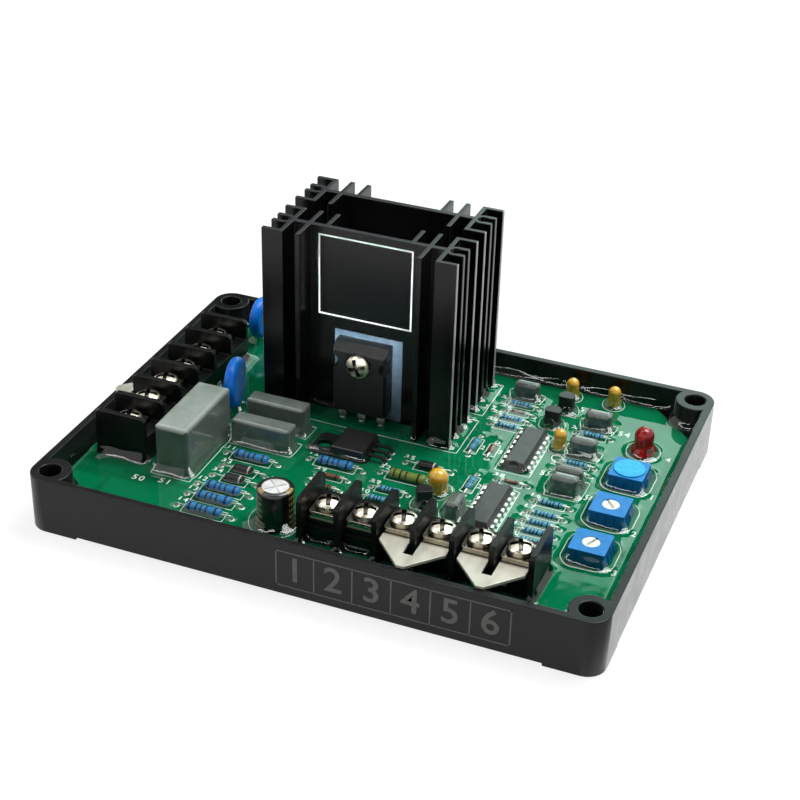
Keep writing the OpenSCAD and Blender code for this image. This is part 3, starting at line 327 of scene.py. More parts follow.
# Cast epoxy lamp body, tinted red: clear and glossy, a little cloudy inside
redLens, tree, shader, place = startMaterial("tintedCastEpoxy", {
    "Transmission Weight": 0.55, "IOR": 1.5, "Roughness": 0.08})
cloud = addNode(tree, "ShaderNodeTexNoise", {"Scale": perMm(2.0), "Detail": 2.0}, {"Vector": place})
tone = addNode(tree, "ShaderNodeValToRGB", {"ramp": [(0.3, "#b00c12"), (0.7, "#d81c20")]},
               {"Fac": cloud.outputs["Fac"]})
tree.links.new(tone.outputs["Color"], shader.inputs["Base Color"])
print("patterned materials ready")

bevelLook = {"weld": 0.002, "flat": 0.6, "slices": 2, "angle": 30}  # mm, degrees


def dressNode(name, material, bevel):
    obj = nodes[name]
    obj.data.materials.clear()
    obj.data.materials.append(material)
    if bevel:
        weld = obj.modifiers.new("weld", "WELD")
        weld.merge_threshold = bevelLook["weld"] * mm
        flat = obj.modifiers.new("flat", "DECIMATE")  # joins the coplanar triangles so that bevels run clean
        flat.decimate_type = "DISSOLVE"
        flat.angle_limit = math.radians(bevelLook["flat"])
        soft = obj.modifiers.new("soft", "BEVEL")
        soft.width = bevel * mm
        soft.segments = bevelLook["slices"]
        soft.limit_method = "ANGLE"
        soft.angle_limit = math.radians(bevelLook["angle"])
        soft.harden_normals = True


nodeLooks = {  # material and bevel in mm
    "tray": (trayAbs, 0.3), "potting_resin": (clearResin, 0), "circuit_board": (boardMask, 0),
    "front_terminal_block": (blockPbt, 0.15), "left_terminal_block": (blockPbt, 0.15),
    "terminal_contacts": (tinPlate, 0.12), "clamp_washers": (washerSteel, 0.12),
    "terminal_screws": (nickelSteel, 0), "link_plates": (tinPlate, 0.1),
    "front_heat_sink": (anodised, 0.22), "rear_heat_sink": (anodised, 0.22),
    "heat_sink_pins": (tinnedWire, 0), "insulating_pads": (padSilicone, 0),
    "power_transistors": (blackEpoxy, 0.15), "power_transistor_leads": (tinnedWire, 0.08),
    "transistor_screws": (nickelSteel, 0),
    "flat_transistor_body": (wetEpoxy, 0.3), "flat_transistor_tab": (blackEpoxy, 0.1),
    "large_film_capacitor": (greyPbt, 0), "medium_film_capacitors": (paintedShadePbt, 0),
    "small_film_capacitors": (smokePbt, 0), "disc_varistors": (blueCoat, 0),
    "drop_capacitors": (yellowCoat, 0), "electrolytic_sleeve": (pvcSleeve, 0),
    "electrolytic_can": (drawnAluminium, 0), "small_transistors": (blackEpoxy, 0.15),
    "integrated_circuits": (greyEpoxy, 0.12), "integrated_circuit_pins": (solderTin, 0.05),
    "trimmer_housings": (blueNylon, 0.15), "trimmer_seal": (sealFilm, 0.1), "sealed_rotor": (whiteNylon, 0),
    "middle_rotor": (whiteNylon, 0.1), "front_rotor": (whiteNylon, 0.1), "led_lens": (redLens, 0),
    "power_resistors": (rodLacquer, 0), "signal_resistors": (rodLacquer, 0), "axial_choke": (rodLacquer, 0),
    "rectifier_diodes": (rodLacquer, 0), "glass_diodes": (rodLacquer, 0), "axial_leads": (tinnedWire, 0),
    "radial_leads": (tinnedWire, 0),
}
for name, (material, bevel) in nodeLooks.items():
    dressNode(name, material, bevel)
print("nodes dressed:", len(nodeLooks))


def meshPiece(name, verts, faces, material, smooth=True):
    mesh = bpy.data.meshes.new(name)
    mesh.from_pydata([Vector(v) * mm for v in verts], [], faces)
    mesh.validate()
    mesh.update()
    mesh.polygons.foreach_set("use_smooth", [smooth] * len(mesh.polygons))
    mesh.materials.append(material)
    obj = bpy.data.objects.new(name, mesh)
    bpy.context.scene.collection.objects.link(obj)
    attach(obj, body)
    return obj


def tubeFaces(start, rings, sides):  # walls between rings of points that lie one after the other
    walls = []
    for i in range(rings - 1):
        low, high = start + i * sides, start + (i + 1) * sides
        for k in range(sides):
            n = (k + 1) % sides
            walls.append((low + k, low + n, high + n, high + k))
    return walls


# Rods: (x, y, turn) in mm and degrees, the same places as the solids; size: length, width, cap, waist
rods = {
    "powerResistors": {
        "node": "power_resistors", "slot": "blue_lacquer", "size": (9.4, 2.9, 2.1, 2.5), "ground": "#2a7fb9",
        "places": [(-30.4, -15.6, 0), (-30.6, -31.2, 0), (-30.6, -36, 0), (-30.6, -41.4, 0), (-9.8, -9.6, 0)],
        "bands": [(-0.74, 0.12), (-0.38, 0.1), (-0.1, 0.1), (0.2, 0.1), (0.72, 0.12)]},
    "signalResistors": {
        "node": "signal_resistors", "slot": "blue_lacquer", "size": (5.6, 2, 1.4, 1.7), "ground": "#55a3c2",
        "places": [(45.6, -4.4, 0), (45.6, -9.6, 0), (45.6, -13.6, 0), (45.6, -17.5, 0), (45.6, -21.5, 0),
                   (46, 30.4, 0), (46, 11.4, 0), (46, 15.4, 0), (24, 37.6, 0), (24, 29.5, 0), (24, 25.5, 0),
                   (19.2, 13.6, 90), (24.4, -3.8, 90), (7, -14.8, 0), (6, -19.6, 0), (20, -24.5, 0)],
        "bands": [(-0.74, 0.12), (-0.36, 0.11), (-0.06, 0.11), (0.24, 0.11), (0.72, 0.12)]},
    "axialChoke": {
        "node": "axial_choke", "slot": "olive_lacquer", "size": (9.6, 3, 2.4, 2.7), "ground": "#6d8430",
        "places": [(9.2, -8, 0)], "bands": [(-0.7, 0.1), (-0.36, 0.1), (-0.05, 0.1), (0.62, 0.12)]},
    "rectifierDiodes": {
        "node": "rectifier_diodes", "slot": "black_epoxy", "size": (5.2, 2.7, 0, 2.7), "ground": "#131314",
        "places": [(-29.8, -21.6, 0), (-30, -26.2, 0), (12, -1.2, 0)],
        "bands": [(0.66, 0.16)], "ink": "#b9bbb8"},
    "glassDiodes": {
        "node": "glass_diodes", "slot": "amber_glass", "size": (4, 1.8, 0, 1.8), "ground": "#6d4a38",
        "places": [(24.6, 33.4, 0), (24.1, 13.4, 90), (33.6, 0.8, 0), (-8.4, -15, 0), (-8.4, -20, 0)],
        "bands": [(0.6, 0.2)], "ink": "#161414"},
}
bandInks = ["#1a1a20", "#101012", "#1a2450", "#2a1d18", "#38281c", "#14242e"]
boardTop = 7.4
rodLift = 0.3
rodSides = 20


def rodProfile(size, bands):
    length, wide, cap, waist = size
    half = length / 2
    soft = 0.3 * wide
    marks = set()
    for centre, width in bands:
        marks.update(((centre - width / 2) * half, (centre + width / 2) * half))
    stations = sorted(marks | {-half + soft * k / 4 for k in range(5)}
                      | {half - soft * k / 4 for k in range(5)}
                      | {-half + cap, half - cap, -half + cap + soft, half - cap - soft, 0.0})
    profile = []
    for x in stations:
        edge = half - abs(x)
        r = wide / 2
        if cap and edge > cap:  # dog-bone waist between the end caps
            blend = min(1.0, (edge - cap) / soft)
            r -= (wide - waist) / 2 * blend * blend * (3 - 2 * blend)
        if edge < soft:
            r -= soft * (1 - math.sqrt(max(0.0, 1 - (1 - edge / soft) ** 2)))
        profile.append((x, r))
    return profile


def rodMesh(name, look):
    draw = random.Random(len(name))
    verts, faces, colours = [], [], []
    half = look["size"][0] / 2
    for x, y, turn in look["places"]:
        inks = [look.get("ink") or draw.choice(bandInks) for _ in look["bands"]]
        profile = rodProfile(look["size"], look["bands"])
        spin = Matrix.Rotation(math.radians(turn), 3, "Z")
        lift = boardTop + rodLift + look["size"][1] / 2
        start = len(verts)
        for along, r in profile:
            for k in range(rodSides):
                a = 2 * math.pi * k / rodSides
                verts.append(spin @ Vector((along, r * math.cos(a), r * math.sin(a))) + Vector((x, y, lift)))
        for i in range(len(profile) - 1):
            middle = (profile[i][0] + profile[i + 1][0]) / 2 / half
            code = look["ground"]
            for (centre, width), ink in zip(look["bands"], inks):
                if abs(middle - centre) < width / 2:
                    code = ink
            colours += [code] * rodSides
        faces += tubeFaces(start, len(profile), rodSides)
        last = start + (len(profile) - 1) * rodSides
        faces.append(tuple(reversed(range(start, start + rodSides))))
        faces.append(tuple(range(last, last + rodSides)))
        colours += [look["ground"]] * 2
    obj = meshPiece(name, verts, faces, rodLacquer)
    layer = obj.data.color_attributes.new("bandColour", "FLOAT_COLOR", "CORNER")
    for face, code in zip(obj.data.polygons, colours):
        for loop in face.loop_indices:
            layer.data[loop].color = linear(code)
    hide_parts(look["node"])


for name, look in rods.items():
    rodMesh(name, look)
print("rods built")

# Leads: straight out, a small bend, then down into the board
leadLook = {"radius": 0.32, "bend": 0.7, "low": 5.9}
spans = {"powerResistors": 15, "signalResistors": 10, "axialChoke": 15, "rectifierDiodes": 12.5,
         "glassDiodes": 8.6}
wire = bpy.data.curves.new("axialLeads", "CURVE")
wire.dimensions = "3D"
wire.bevel_depth = leadLook["radius"] * mm
wire.bevel_resolution = 2
leadFeet = []
for name, span in spans.items():
    look = rods[name]
    level = boardTop + rodLift + look["size"][1] / 2
    for x, y, turn in look["places"]:
        spin = Matrix.Rotation(math.radians(turn), 3, "Z")
        for side in (-1, 1):
            path = [(look["size"][0] / 2 - 0.3, level)]
            for a in range(0, 91, 18):
                c, s = math.cos(math.radians(a)), math.sin(math.radians(a))
                path.append((span / 2 - leadLook["bend"] * (1 - s), level - leadLook["bend"] * (1 - c)))
            path.append((span / 2, leadLook["low"]))
            spline = wire.splines.new("POLY")
            spline.points.add(len(path) - 1)
            for point, (out, z) in zip(spline.points, path):
                v = (spin @ Vector((side * out, 0, 0)) + Vector((x, y, z))) * mm
                point.co = (*v, 1)
            foot = spin @ Vector((side * span / 2, 0, 0)) + Vector((x, y, 0))
            leadFeet.append((foot.x, foot.y))
leads = bpy.data.objects.new("axialLeads", wire)
bpy.context.scene.collection.objects.link(leads)
wire.materials.append(tinnedWire)
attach(leads, body)
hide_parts("axial_leads")
print("leads bent:", len(leadFeet))

# Solder joints on the board's top side, at the feet of leads and pins
solderLook = {"pad": 0.75, "rise": 0.5, "sides": 14}
onTop = 0.02  # lift of what lies flat on a face
footPitch = 2.54
trimmers = [(60.25, 13.5), (60.25, -3.5), (60.25, -20.5)]
chips = [(32.2, 15.6), (32.2, -12.6)]
chipReach = 3.81
powerFeet = {"x": -12.4, "pitch": 5.45, "before": 3.5}  # mm before the sink's middle
flatFoot = (1.2, -1)
transistorFeet = [(powerFeet["x"] + k * powerFeet["pitch"], y - powerFeet["before"])
                  for y in sinkAt[1] for k in (-1, 0, 1)]
flatFeet = [(flatFoot[0], flatFoot[1] + k * footPitch) for k in (-1, 0, 1)]
chipFeet = [(x + s * chipReach, y + (k - 3) * footPitch) for x, y in chips for s in (-1, 1) for k in range(7)]
verts, faces = [], []
steps = [(1.0, 0.0), (0.86, 0.12), (0.62, 0.35), (0.45, 0.7), (0.4, 1.0)]  # shares of pad and rise
sides = solderLook["sides"]
for fx, fy in leadFeet + transistorFeet + flatFeet + chipFeet:
    start = len(verts)
    for share, up in steps:
        r = solderLook["pad"] * share
        level = boardTop + onTop + solderLook["rise"] * up
        for k in range(sides):
            a = 2 * math.pi * k / sides
            verts.append((fx + r * math.cos(a), fy + r * math.sin(a), level))
    faces += tubeFaces(start, len(steps), sides)
    faces.append(tuple(range(start + (len(steps) - 1) * sides, start + len(steps) * sides)))
meshPiece("solderJoints", verts, faces, solderTin)
print("solder joints:", len(faces), "faces")

# Clear resin skin: a height field that rises where it wets a wall or a part
resinLook = {"level": 9.4, "grid": 0.42, "halfX": 71.15, "halfY": 51.65, "wallRise": 1.7, "wallReach": 2.6,
             "boss": 5.2, "bossX": 68.25, "bossY": 48.75, "bossRise": 1.6, "bossReach": 2.4}
poles = {"frontX": 24.4, "leftY": 0.9, "pitch": 9.5}
boxes = [  # x, y, half length, half width, rise, reach
    (poles["frontX"], -35.75, 29.2, 5.5, 1.4, 1.0), (-59.15, poles["leftY"], 5.5, 29.2, 1.9, 1.8),
    (-45.4, -18, 4.6, 12, 1.8, 1.7), (-30.9, -7.4, 8.2, 2.5, 1.6, 1.3), (-30.9, 1.6, 8.2, 2.5, 1.6, 1.3),
    (24, 42.3, 3.5, 1.5, 1.6, 1.4), (46.2, 34.8, 3.6, 1.7, 1.6, 1.4), (46.2, 20.6, 3.6, 1.7, 1.6, 1.4),
    (46.8, 2.2, 3.6, 1.7, 1.6, 1.4), (46.8, 6.2, 3.6, 1.5, 1.6, 1.4), (25, -17.4, 1.8, 3.2, 1.8, 1.5),
    (-11.4, -1, 8.2, 5.1, 0.5, 0.6),
]
boxes += [(x, y, 3.2, 9.6, 0.4, 0.5) for x, y in chips]
boxes += [(x, y, 4.5, 4.5, 1.7, 1.5) for x, y in trimmers]
for k in range(7):  # feet of the barriers
    step = (k - 3) * poles["pitch"]
    boxes.append((poles["frontX"] + step, -37.25, 0.7, 7, 1.3, 0.7))
    boxes.append((-60.65, poles["leftY"] + step, 7, 0.7, 1.3, 0.7))
for centreY in sinkAt[1]:  # each sink's web, flanges and fins
    boxes += [(sinkAt[0], centreY, 20.5, 0.8, 0.9, 0.7)]
    boxes += [(sinkAt[0] + s * 21.05, centreY, 0.65, 7.7, 1.2, 0.8) for s in (-1, 1)]
    boxes += [(sinkAt[0] + s * 16.35, centreY, 0.65, 7.7, 1.1, 0.7) for s in (-1, 1)]
    boxes += [(sinkAt[0] + s * 11.65, centreY + 3.8, 0.65, 3.9, 1.1, 0.7) for s in (-1, 1)]
    boxes += [(sinkAt[0] + s * 24, centreY + t * 7.05, 2.4, 0.65, 1.6, 1.1) for s in (-1, 1) for t in (-1, 1)]
    boxes += [(sinkAt[0] + s * 23.7, centreY, 2.2, 2.5, 1.5, 1.1) for s in (-1, 1)]
for name, look in rods.items():
    for x, y, turn in look["places"]:
        long, wide = look["size"][0] / 2 - 0.4, look["size"][1] / 2 - 0.3
        up, reach = (0.2, 0.45) if wide > 0.8 else (0.1, 0.8)
        boxes.append((x, y, long, wide, up, reach) if turn == 0 else (x, y, wide, long, up, reach))
drops = [(18.2, -10.7, 2.5), (35.2, 47.4, 1.7), (46.8, 47.6, 1.7), (39.8, 21, 1.7)]
uprights = [(34.7, 31), (35.9, 39.4), (17.2, -17.6)]
lampAt = (60.25, 27.4)
rounds = [  # x, y, radius, rise, reach
    (*canLook["centre"], 4.6, 1.9, 1.8), (*lampAt, 2.9, 1.5, 1.4), (-45, 4.6, 2.4, 1.4, 0.9),
    (-55.4, 42, 2.4, 1.4, 0.9),
]
rounds += [(x, y, r, 1.2, 0.8) for x, y, r in drops]
rounds += [(x, y, 2.1, 1.4, 1.1) for x, y in uprights]
rounds += [(x, y, 0.6, 0.4, 0.5) for x, y in leadFeet + transistorFeet]
stepX = int(round(2 * resinLook["halfX"] / resinLook["grid"]))
stepY = int(round(2 * resinLook["halfY"] / resinLook["grid"]))
gx = np.linspace(-resinLook["halfX"] - 0.05, resinLook["halfX"] + 0.05, stepX + 1)
gy = np.linspace(-resinLook["halfY"] - 0.05, resinLook["halfY"] + 0.05, stepY + 1)
px, py = np.meshgrid(gx, gy)
wallGap = np.minimum(resinLook["halfX"] - np.abs(px), resinLook["halfY"] - np.abs(py))
ragged = 1 + 0.22 * np.sin(px / 6.3) * np.sin(py / 7.1 + 1) + 0.12 * np.sin(px / 2.1 + py / 2.7)
rise = resinLook["wallRise"] * ragged * np.clip(1 - wallGap / resinLook["wallReach"], 0, 1) ** 2
inside = np.full(px.shape, -1.0)
for sx, sy in ((-1, -1), (-1, 1), (1, -1), (1, 1)):
    gap = np.hypot(px - sx * resinLook["bossX"], py - sy * resinLook["bossY"]) - resinLook["boss"]
    rise = np.maximum(rise, resinLook["bossRise"] * np.clip(1 - gap / resinLook["bossReach"], 0, 1) ** 2)
    inside = np.maximum(inside, -gap)
for bx, by, hx, hy, up, reach in boxes:
    inset = min(0.5, 0.6 * hx, 0.6 * hy)  # the crest lies under the part, so the visible slope stays smooth
    gap = np.hypot(np.maximum(np.abs(px - bx) - hx + inset, 0), np.maximum(np.abs(py - by) - hy + inset, 0))
    rise = np.maximum(rise, up * ragged * np.maximum(1 + (inset - gap) / (2.2 * reach), 0) ** 2)
    inside = np.maximum(inside, np.minimum(hx - np.abs(px - bx), hy - np.abs(py - by)))
for bx, by, r, up, reach in rounds:
    gap = np.hypot(px - bx, py - by) - r
    rise = np.maximum(rise, up * ragged * np.clip(1 - gap / (2.2 * reach), 0, 1.2) ** 2)
for k in range(3):  # the creases between two rises flow out
    rise = (np.roll(rise, 1, 0) + 2 * rise + np.roll(rise, -1, 0)) / 4
    rise = (np.roll(rise, 1, 1) + 2 * rise + np.roll(rise, -1, 1)) / 4
level = resinLook["level"] + rise
hidden = inside > 0.7
verts = np.stack([px, py, level], axis=-1).reshape(-1, 3).tolist()
faces = []
for j in range(stepY):
    for i in range(stepX):
        if hidden[j, i] and hidden[j, i + 1] and hidden[j + 1, i] and hidden[j + 1, i + 1]:
            continue
        a = j * (stepX + 1) + i
        faces.append((a, a + 1, a + stepX + 2, a + stepX + 1))
used = sorted({v for f in faces for v in f})
renumber = {old: new for new, old in enumerate(used)}
resinSkin = meshPiece("resinSkin", [verts[v] for v in used], [tuple(renumber[v] for v in f) for f in faces],
                      clearResin)
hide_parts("potting_resin")
print("resin skin:", len(faces), "faces")

# Thin pale loops round the trimmers and the lamp, a painted highlight of the resin's rim: x, y, half sizes,
# corner radius
beadLook = {"radius": 0.15, "level": 9.42}
beads = [(x + 0.2, y - 0.6, 6.4, 6.8, 4.2) for x, y in trimmers] + [(60.4, 27.0, 4.3, 4.4, 4.2)]
edge = bpy.data.curves.new("resinEdges", "CURVE")
edge.dimensions = "3D"
edge.bevel_depth = beadLook["radius"] * mm
edge.bevel_resolution = 1
for x, y, hx, hy, r in beads:
    spline = edge.splines.new("POLY")
    spline.use_cyclic_u = True
    spline.points.add(47)
    for k, point in enumerate(spline.points):
        a = math.radians(k * 7.5)
        sway = 0.14 * math.sin(3 * a + x + y) + 0.08 * math.sin(5 * a + y)
        cx, cy = math.copysign(hx - r, math.cos(a)), math.copysign(hy - r, math.sin(a))
        point.co = ((x + cx + (r + sway) * math.cos(a)) * mm, (y + cy + (r + sway) * math.sin(a)) * mm,
                    beadLook["level"] * mm, 1)
edges = bpy.data.objects.new("resinEdges", edge)
bpy.context.scene.collection.objects.link(edges)
edge.materials.append(paintedRimGlint)
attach(edges, body)

# Printing: thin strips and plain numbers, flat on the face below them
digitCache = {}


def digitShape(mark):
    if mark not in digitCache:
        curve = bpy.data.curves.new("digit", "FONT")
        curve.body = mark
        curve.size = 1
        curve.resolution_u = 3
        curve.offset = 0.012
        curve.align_x = "CENTER"
        curve.align_y = "CENTER"
        obj = bpy.data.objects.new("digit", curve)
        bpy.context.scene.collection.objects.link(obj)
        flat = bpy.data.meshes.new_from_object(obj.evaluated_get(bpy.context.evaluated_depsgraph_get()))
        digitCache[mark] = ([v.co.copy() for v in flat.vertices], [tuple(p.vertices) for p in flat.polygons])
        bpy.data.objects.remove(obj)
        bpy.data.curves.remove(curve)
        bpy.data.meshes.remove(flat)
    return digitCache[mark]


class Print:  # strips, rings and numbers in mm on one plane
    def __init__(self, place):
        self.place = place
        self.verts = []
        self.faces = []

    def add(self, points, faces):
        start = len(self.verts)
        self.verts += [self.place @ Vector((*p, 0)) for p in points]
        self.faces += [tuple(start + k for k in f) for f in faces]

    def line(self, a, b, wide):
        a, b = Vector(a), Vector(b)
        side = (b - a).normalized() * wide / 2
        side = Vector((-side.y, side.x))
        self.add([a - side, b - side, b + side, a + side], [(0, 1, 2, 3)])

    def loop(self, points, wide):
        for k in range(len(points)):
            a, b = Vector(points[k]), Vector(points[(k + 1) % len(points)])
            reach = (b - a).normalized() * wide / 2
            self.line(a - reach, b + reach, wide)

    def box(self, left, right, low, high, wide):
        self.loop([(left, low), (right, low), (right, high), (left, high)], wide)

    def ring(self, x, y, r, wide, start=0, end=360):
        n = max(8, int((end - start) / 12))
        inner, outer = [], []
        for k in range(n + 1):
            a = math.radians(start + (end - start) * k / n)
            inner.append((x + (r - wide / 2) * math.cos(a), y + (r - wide / 2) * math.sin(a)))
            outer.append((x + (r + wide / 2) * math.cos(a), y + (r + wide / 2) * math.sin(a)))
        self.add(inner + outer, [(k, n + 1 + k, n + 2 + k, k + 1) for k in range(n)])

    def number(self, value, x, y, size):
        marks = str(value)
        for k, mark in enumerate(marks):
            points, faces = digitShape(mark)
            shift = (k - (len(marks) - 1) / 2) * 0.62 * size
            self.add([(p.x * size + x + shift, p.y * size + y) for p in points], faces)

    def make(self, name, material):
        meshPiece(name, self.verts, self.faces, material, smooth=False)


# Board legend: outlines of the parts and plain numbers beside them
legendLook = {"line": 0.22, "figure": 3.0, "small": 2.6}
legend = Print(Matrix.Translation((0, 0, boardTop + onTop)))
thin = legendLook["line"]


def outline(x, y, halfX, halfY):
    legend.box(x - halfX, x + halfX, y - halfY, y + halfY, thin)


for centreY in sinkAt[1]:
    outline(sinkAt[0], centreY, 28.6, 8.6)
for x, y, hx, hy in ((-45.4, -18, 5.4, 12.8), (-30.9, -7.4, 8.9, 3.2), (-30.9, 1.6, 8.9, 3.2),
                     (24, 42.3, 4.2, 2.2), (46.2, 34.8, 4.2, 2.4), (46.2, 20.6, 4.2, 2.4),
                     (46.8, 4, 4.3, 4.4), (25, -17.4, 2.6, 4.0)):
    outline(x, y, hx, hy)
for x, y in chips:
    outline(x, y, 4.6, 10.4)
for x, y, r in drops:
    legend.ring(x, y, r + 1.0, thin)
for x, y in uprights:
    legend.ring(x, y, 3.1, thin, -30, 210)
    legend.line((x - 2.7, y - 1.55), (x + 2.7, y - 1.55), thin)
legend.ring(*canLook["centre"], 6.1, thin)
legend.ring(*lampAt, 3.9, thin)
legend.ring(40.6, 16.6, 1.3, 0.5)
count = 11
for name, look in rods.items():
    for x, y, turn in look["places"]:
        long, wide = look["size"][0] / 2 + 0.9, look["size"][1] / 2 + 0.5
        outline(x, y, *((long, wide) if turn == 0 else (wide, long)))
        if turn == 0:
            legend.number(count, x - spans[name] / 2 + 0.2, y + wide + 1.0, legendLook["small"])
        else:
            legend.number(count, x + wide + 1.6, y, legendLook["small"])
        count += 1
for k, (x, y) in enumerate(trimmers):
    legend.number(k + 1, x + 7.2, y - 4.6, legendLook["figure"])
legend.number(4, 67.0, lampAt[1], legendLook["small"])
for k, (x, y) in enumerate(((-52.5, -34.5), (-45.7, -33.2), (-21.0, -21.6), (40.5, 42.5), (53.2, 34.8),
                            (40.2, 8.6), (53.6, 2.2), (16.6, 33.4), (12.4, 21.0), (-1.5, -24.6))):
    legend.number(50 + k, x, y, legendLook["figure"])
legend.make("boardLegend", whiteInk)

# Six numbered cells on the front wall, one for each front terminal
cellLook = {"left": -5.5, "right": 51.8, "low": 3.2, "high": 12.9, "line": 0.34, "figure": 9.6}
wall = Matrix.Translation((0, -53.77, 0)) @ Matrix.Rotation(math.radians(90), 4, "X")
cells = Print(wall)
wide = (cellLook["right"] - cellLook["left"]) / 6
cells.box(cellLook["left"], cellLook["right"], cellLook["low"], cellLook["high"], cellLook["line"])
for k in range(6):
    x = cellLook["left"] + k * wide
    if k:
        cells.line((x, cellLook["low"]), (x, cellLook["high"]), cellLook["line"])
    cells.number(k + 1, x + wide / 2, (cellLook["low"] + cellLook["high"]) / 2, cellLook["figure"])
cells.make("terminalCells", greyInk)

# Plain printed frame on the front sink's web
plateLook = {"left": -25.8, "right": -0.4, "low": 36.6, "high": 58.9, "line": 0.46}
web = Matrix.Translation((0, 16.1 - onTop, 0)) @ Matrix.Rotation(math.radians(90), 4, "X")
plate = Print(web)
plate.box(plateLook["left"], plateLook["right"], plateLook["low"], plateLook["high"], plateLook["line"])
plate.make("sinkFrame", whiteInk)
print("printing done")

# Lamp inside: cup and post on the two leads
sides = 10
lampPosts = {  # x from the middle, radius, and (height, share of the radius, share of x) up the post
    "cup": (-1.27, 0.45, [(8.9, 1.0, 1.0), (11.8, 1.0, 1.0), (12.6, 2.2, 0.45), (13.6, 2.4, 0.45)]),
    "post": (1.27, 0.3, [(8.9, 1.0, 1.0), (11.8, 1.0, 1.0), (12.6, 1.0, 0.45), (14.0, 1.2, 0.45)]),
}
verts, faces = [], []
for out, radius, rings in lampPosts.values():
    start = len(verts)
    for z, share, lean in rings:
        r = radius * share
        for k in range(sides):
            a = 2 * math.pi * k / sides
            verts.append((lampAt[0] + out * lean + r * math.cos(a), lampAt[1] + r * math.sin(a), z))
    last = start + (len(rings) - 1) * sides
    faces += tubeFaces(start, len(rings), sides)
    faces.append(tuple(range(last, last + sides)))
    faces.append(tuple(reversed(range(start, start + sides))))
meshPiece("lampFrame", verts, faces, tinnedWire)

# Camera at the photograph's place
cameraLook = {"place": (135.44, -343.77, 245.90), "lens": 77.28,
              "right": (0.92798173, 0.37183436, 0.0242718), "up": (-0.21014625, 0.46844338, 0.85813714)}
right, up = Vector(cameraLook["right"]), Vector(cameraLook["up"])
back = right.cross(up)
lensData = bpy.data.cameras.new("camera")
lensData.lens = cameraLook["lens"]
lensData.sensor_width = 36
lensData.clip_start = 0.01
camera = bpy.data.objects.new("camera", lensData)
turnMatrix = Matrix((right, up, back)).transposed().to_4x4()
camera.matrix_world = Matrix.Translation(Vector(cameraLook["place"]) * mm) @ turnMatrix
bpy.context.scene.collection.objects.link(camera)
bpy.context.scene.camera = camera

# Soft boxes at the right back and behind, a strip overhead, a small box at the left and a snoot;
# watts, metres, degrees
lamps = {
    "rightBack": {"place": (0.24, 0.26, 0.78), "size": (0.5, 0.5), "power": 7.6, "aim": (0, 0, 0.015)},
    "leftStrip": {"place": (-0.25, -0.02, 0.75), "size": (0.5, 0.09), "power": 1.0, "aim": (-0.25, -0.02, 0)},
    "backPanel": {"place": (0.02, 1.0, 0.435), "size": (0.62, 0.6), "power": 2.5, "aim": (0.03, 0, 0.05),
                  "tint": "#cffff2"},
    "leftBox": {"place": (-0.5, -0.4, 0.5), "size": (0.12, 0.12), "power": 0.4, "aim": (0, 0, 0.015)},
    "frontSnoot": {"place": (0.06, -0.6, 0.36), "size": (0.03, 0.03), "power": 0.0075,
                   "aim": (-0.0125, 0.016, 0.047), "spread": 3.4},
}
for name, look in lamps.items():
    data = bpy.data.lights.new(name, "AREA")
    data.shape = "RECTANGLE"
    data.size, data.size_y = look["size"]
    data.energy = look["power"]
    data.color = linear(look.get("tint", "#ffffff"))[:3]
    data.spread = math.radians(look.get("spread", 180))
    lamp = bpy.data.objects.new(name, data)
    lamp.location = look["place"]
    lamp.rotation_euler = (Vector(look["aim"]) - Vector(look["place"])).to_track_quat("-Z", "Y").to_euler()
    bpy.context.scene.collection.objects.link(lamp)

# Black flags behind and above the part keep its gloss dark: x, y and z from and to in metres
flagMat = surfaceMaterial("blackFlagCloth", {
    "dark": "#070707", "light": "#0c0c0c", "blotch": 40, "grain": 2, "rough": (0.85, 0.95), "relief": 0.3},
    {"Specular IOR Level": 0.1})
flags = ((-1.9, -0.3, 1.0, 1.0, 0.12, 0.95), (-0.3, 0.6, 1.05, 1.05, 0.8, 1.5),
         (-0.4, 0.4, -0.6, 0.2, 1.0, 1.0))
for k, (x0, x1, y0, y1, z0, z1) in enumerate(flags):
    flagMesh = bpy.data.meshes.new("flag")
    flagMesh.from_pydata([(x0, y0, z0), (x1, y0, z0), (x1, y1, z1), (x0, y1, z1)], [], [(0, 1, 2, 3)])
    flagMesh.materials.append(flagMat)
    flag = bpy.data.objects.new("flag%d" % (k + 1), flagMesh)
    bpy.context.scene.collection.objects.link(flag)


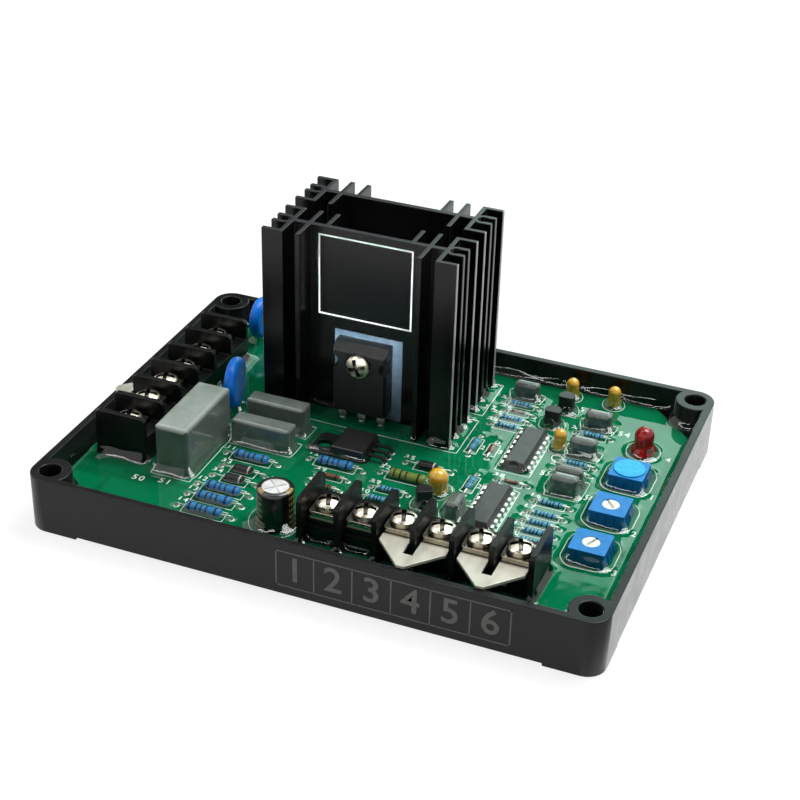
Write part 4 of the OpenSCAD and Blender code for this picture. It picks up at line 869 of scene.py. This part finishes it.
def seenRay(tree):  # 1 for what the eye, a reflection or clear resin shows, 0 for what only lights
    ray = addNode(tree, "ShaderNodeLightPath")
    seen = addNode(tree, "ShaderNodeMath", {"operation": "MAXIMUM"},
                   {0: ray.outputs["Is Camera Ray"], 1: ray.outputs["Is Glossy Ray"]})
    seenToo = addNode(tree, "ShaderNodeMath", {"operation": "MAXIMUM"},
                      {0: seen.outputs["Value"], 1: ray.outputs["Is Transmission Ray"]})
    return seenToo.outputs["Value"]


# White surround: full white to the eye and in reflections, softer as light
world = bpy.data.worlds.new("studio")
bpy.context.scene.world = world
world.use_nodes = True
tree = world.node_tree
ground = tree.nodes["Background"]
ground.inputs["Color"].default_value = linear("#ffffff")
power = addNode(tree, "ShaderNodeMapRange", {"To Min": 0.14, "To Max": 1.0}, {"Value": seenRay(tree)})
tree.links.new(power.outputs["Result"], ground.inputs["Strength"])

# Floor: matt grey paper that shows white to the eye and in reflections, and still takes the shadow
floorMat, tree, shader, place = startMaterial("mattPaper", {"Roughness": 0.9, "Specular IOR Level": 0.0})
fibre = addNode(tree, "ShaderNodeTexNoise", {"Scale": perMm(3), "Detail": 3.0}, {"Vector": place})
tone = addNode(tree, "ShaderNodeValToRGB", {"ramp": [(0.3, "#7c7c7c"), (0.7, "#848484")]},
               {"Fac": fibre.outputs["Fac"]})
tree.links.new(tone.outputs["Color"], shader.inputs["Base Color"])
lift = addNode(tree, "ShaderNodeMath", {"operation": "MULTIPLY", 1: 0.84}, {0: seenRay(tree)})
shader.inputs["Emission Color"].default_value = linear("#ffffff")
tree.links.new(lift.outputs["Value"], shader.inputs["Emission Strength"])
floorMesh = bpy.data.meshes.new("floor")
floorMesh.from_pydata([(-4, -4, 0), (4, -4, 0), (4, 6, 0), (-4, 6, 0)], [], [(0, 1, 2, 3)])
floorMesh.materials.append(floorMat)
floor = bpy.data.objects.new("floor", floorMesh)
bpy.context.scene.collection.objects.link(floor)

bpy.context.scene.view_settings.view_transform = "Standard"
print("scene ready")
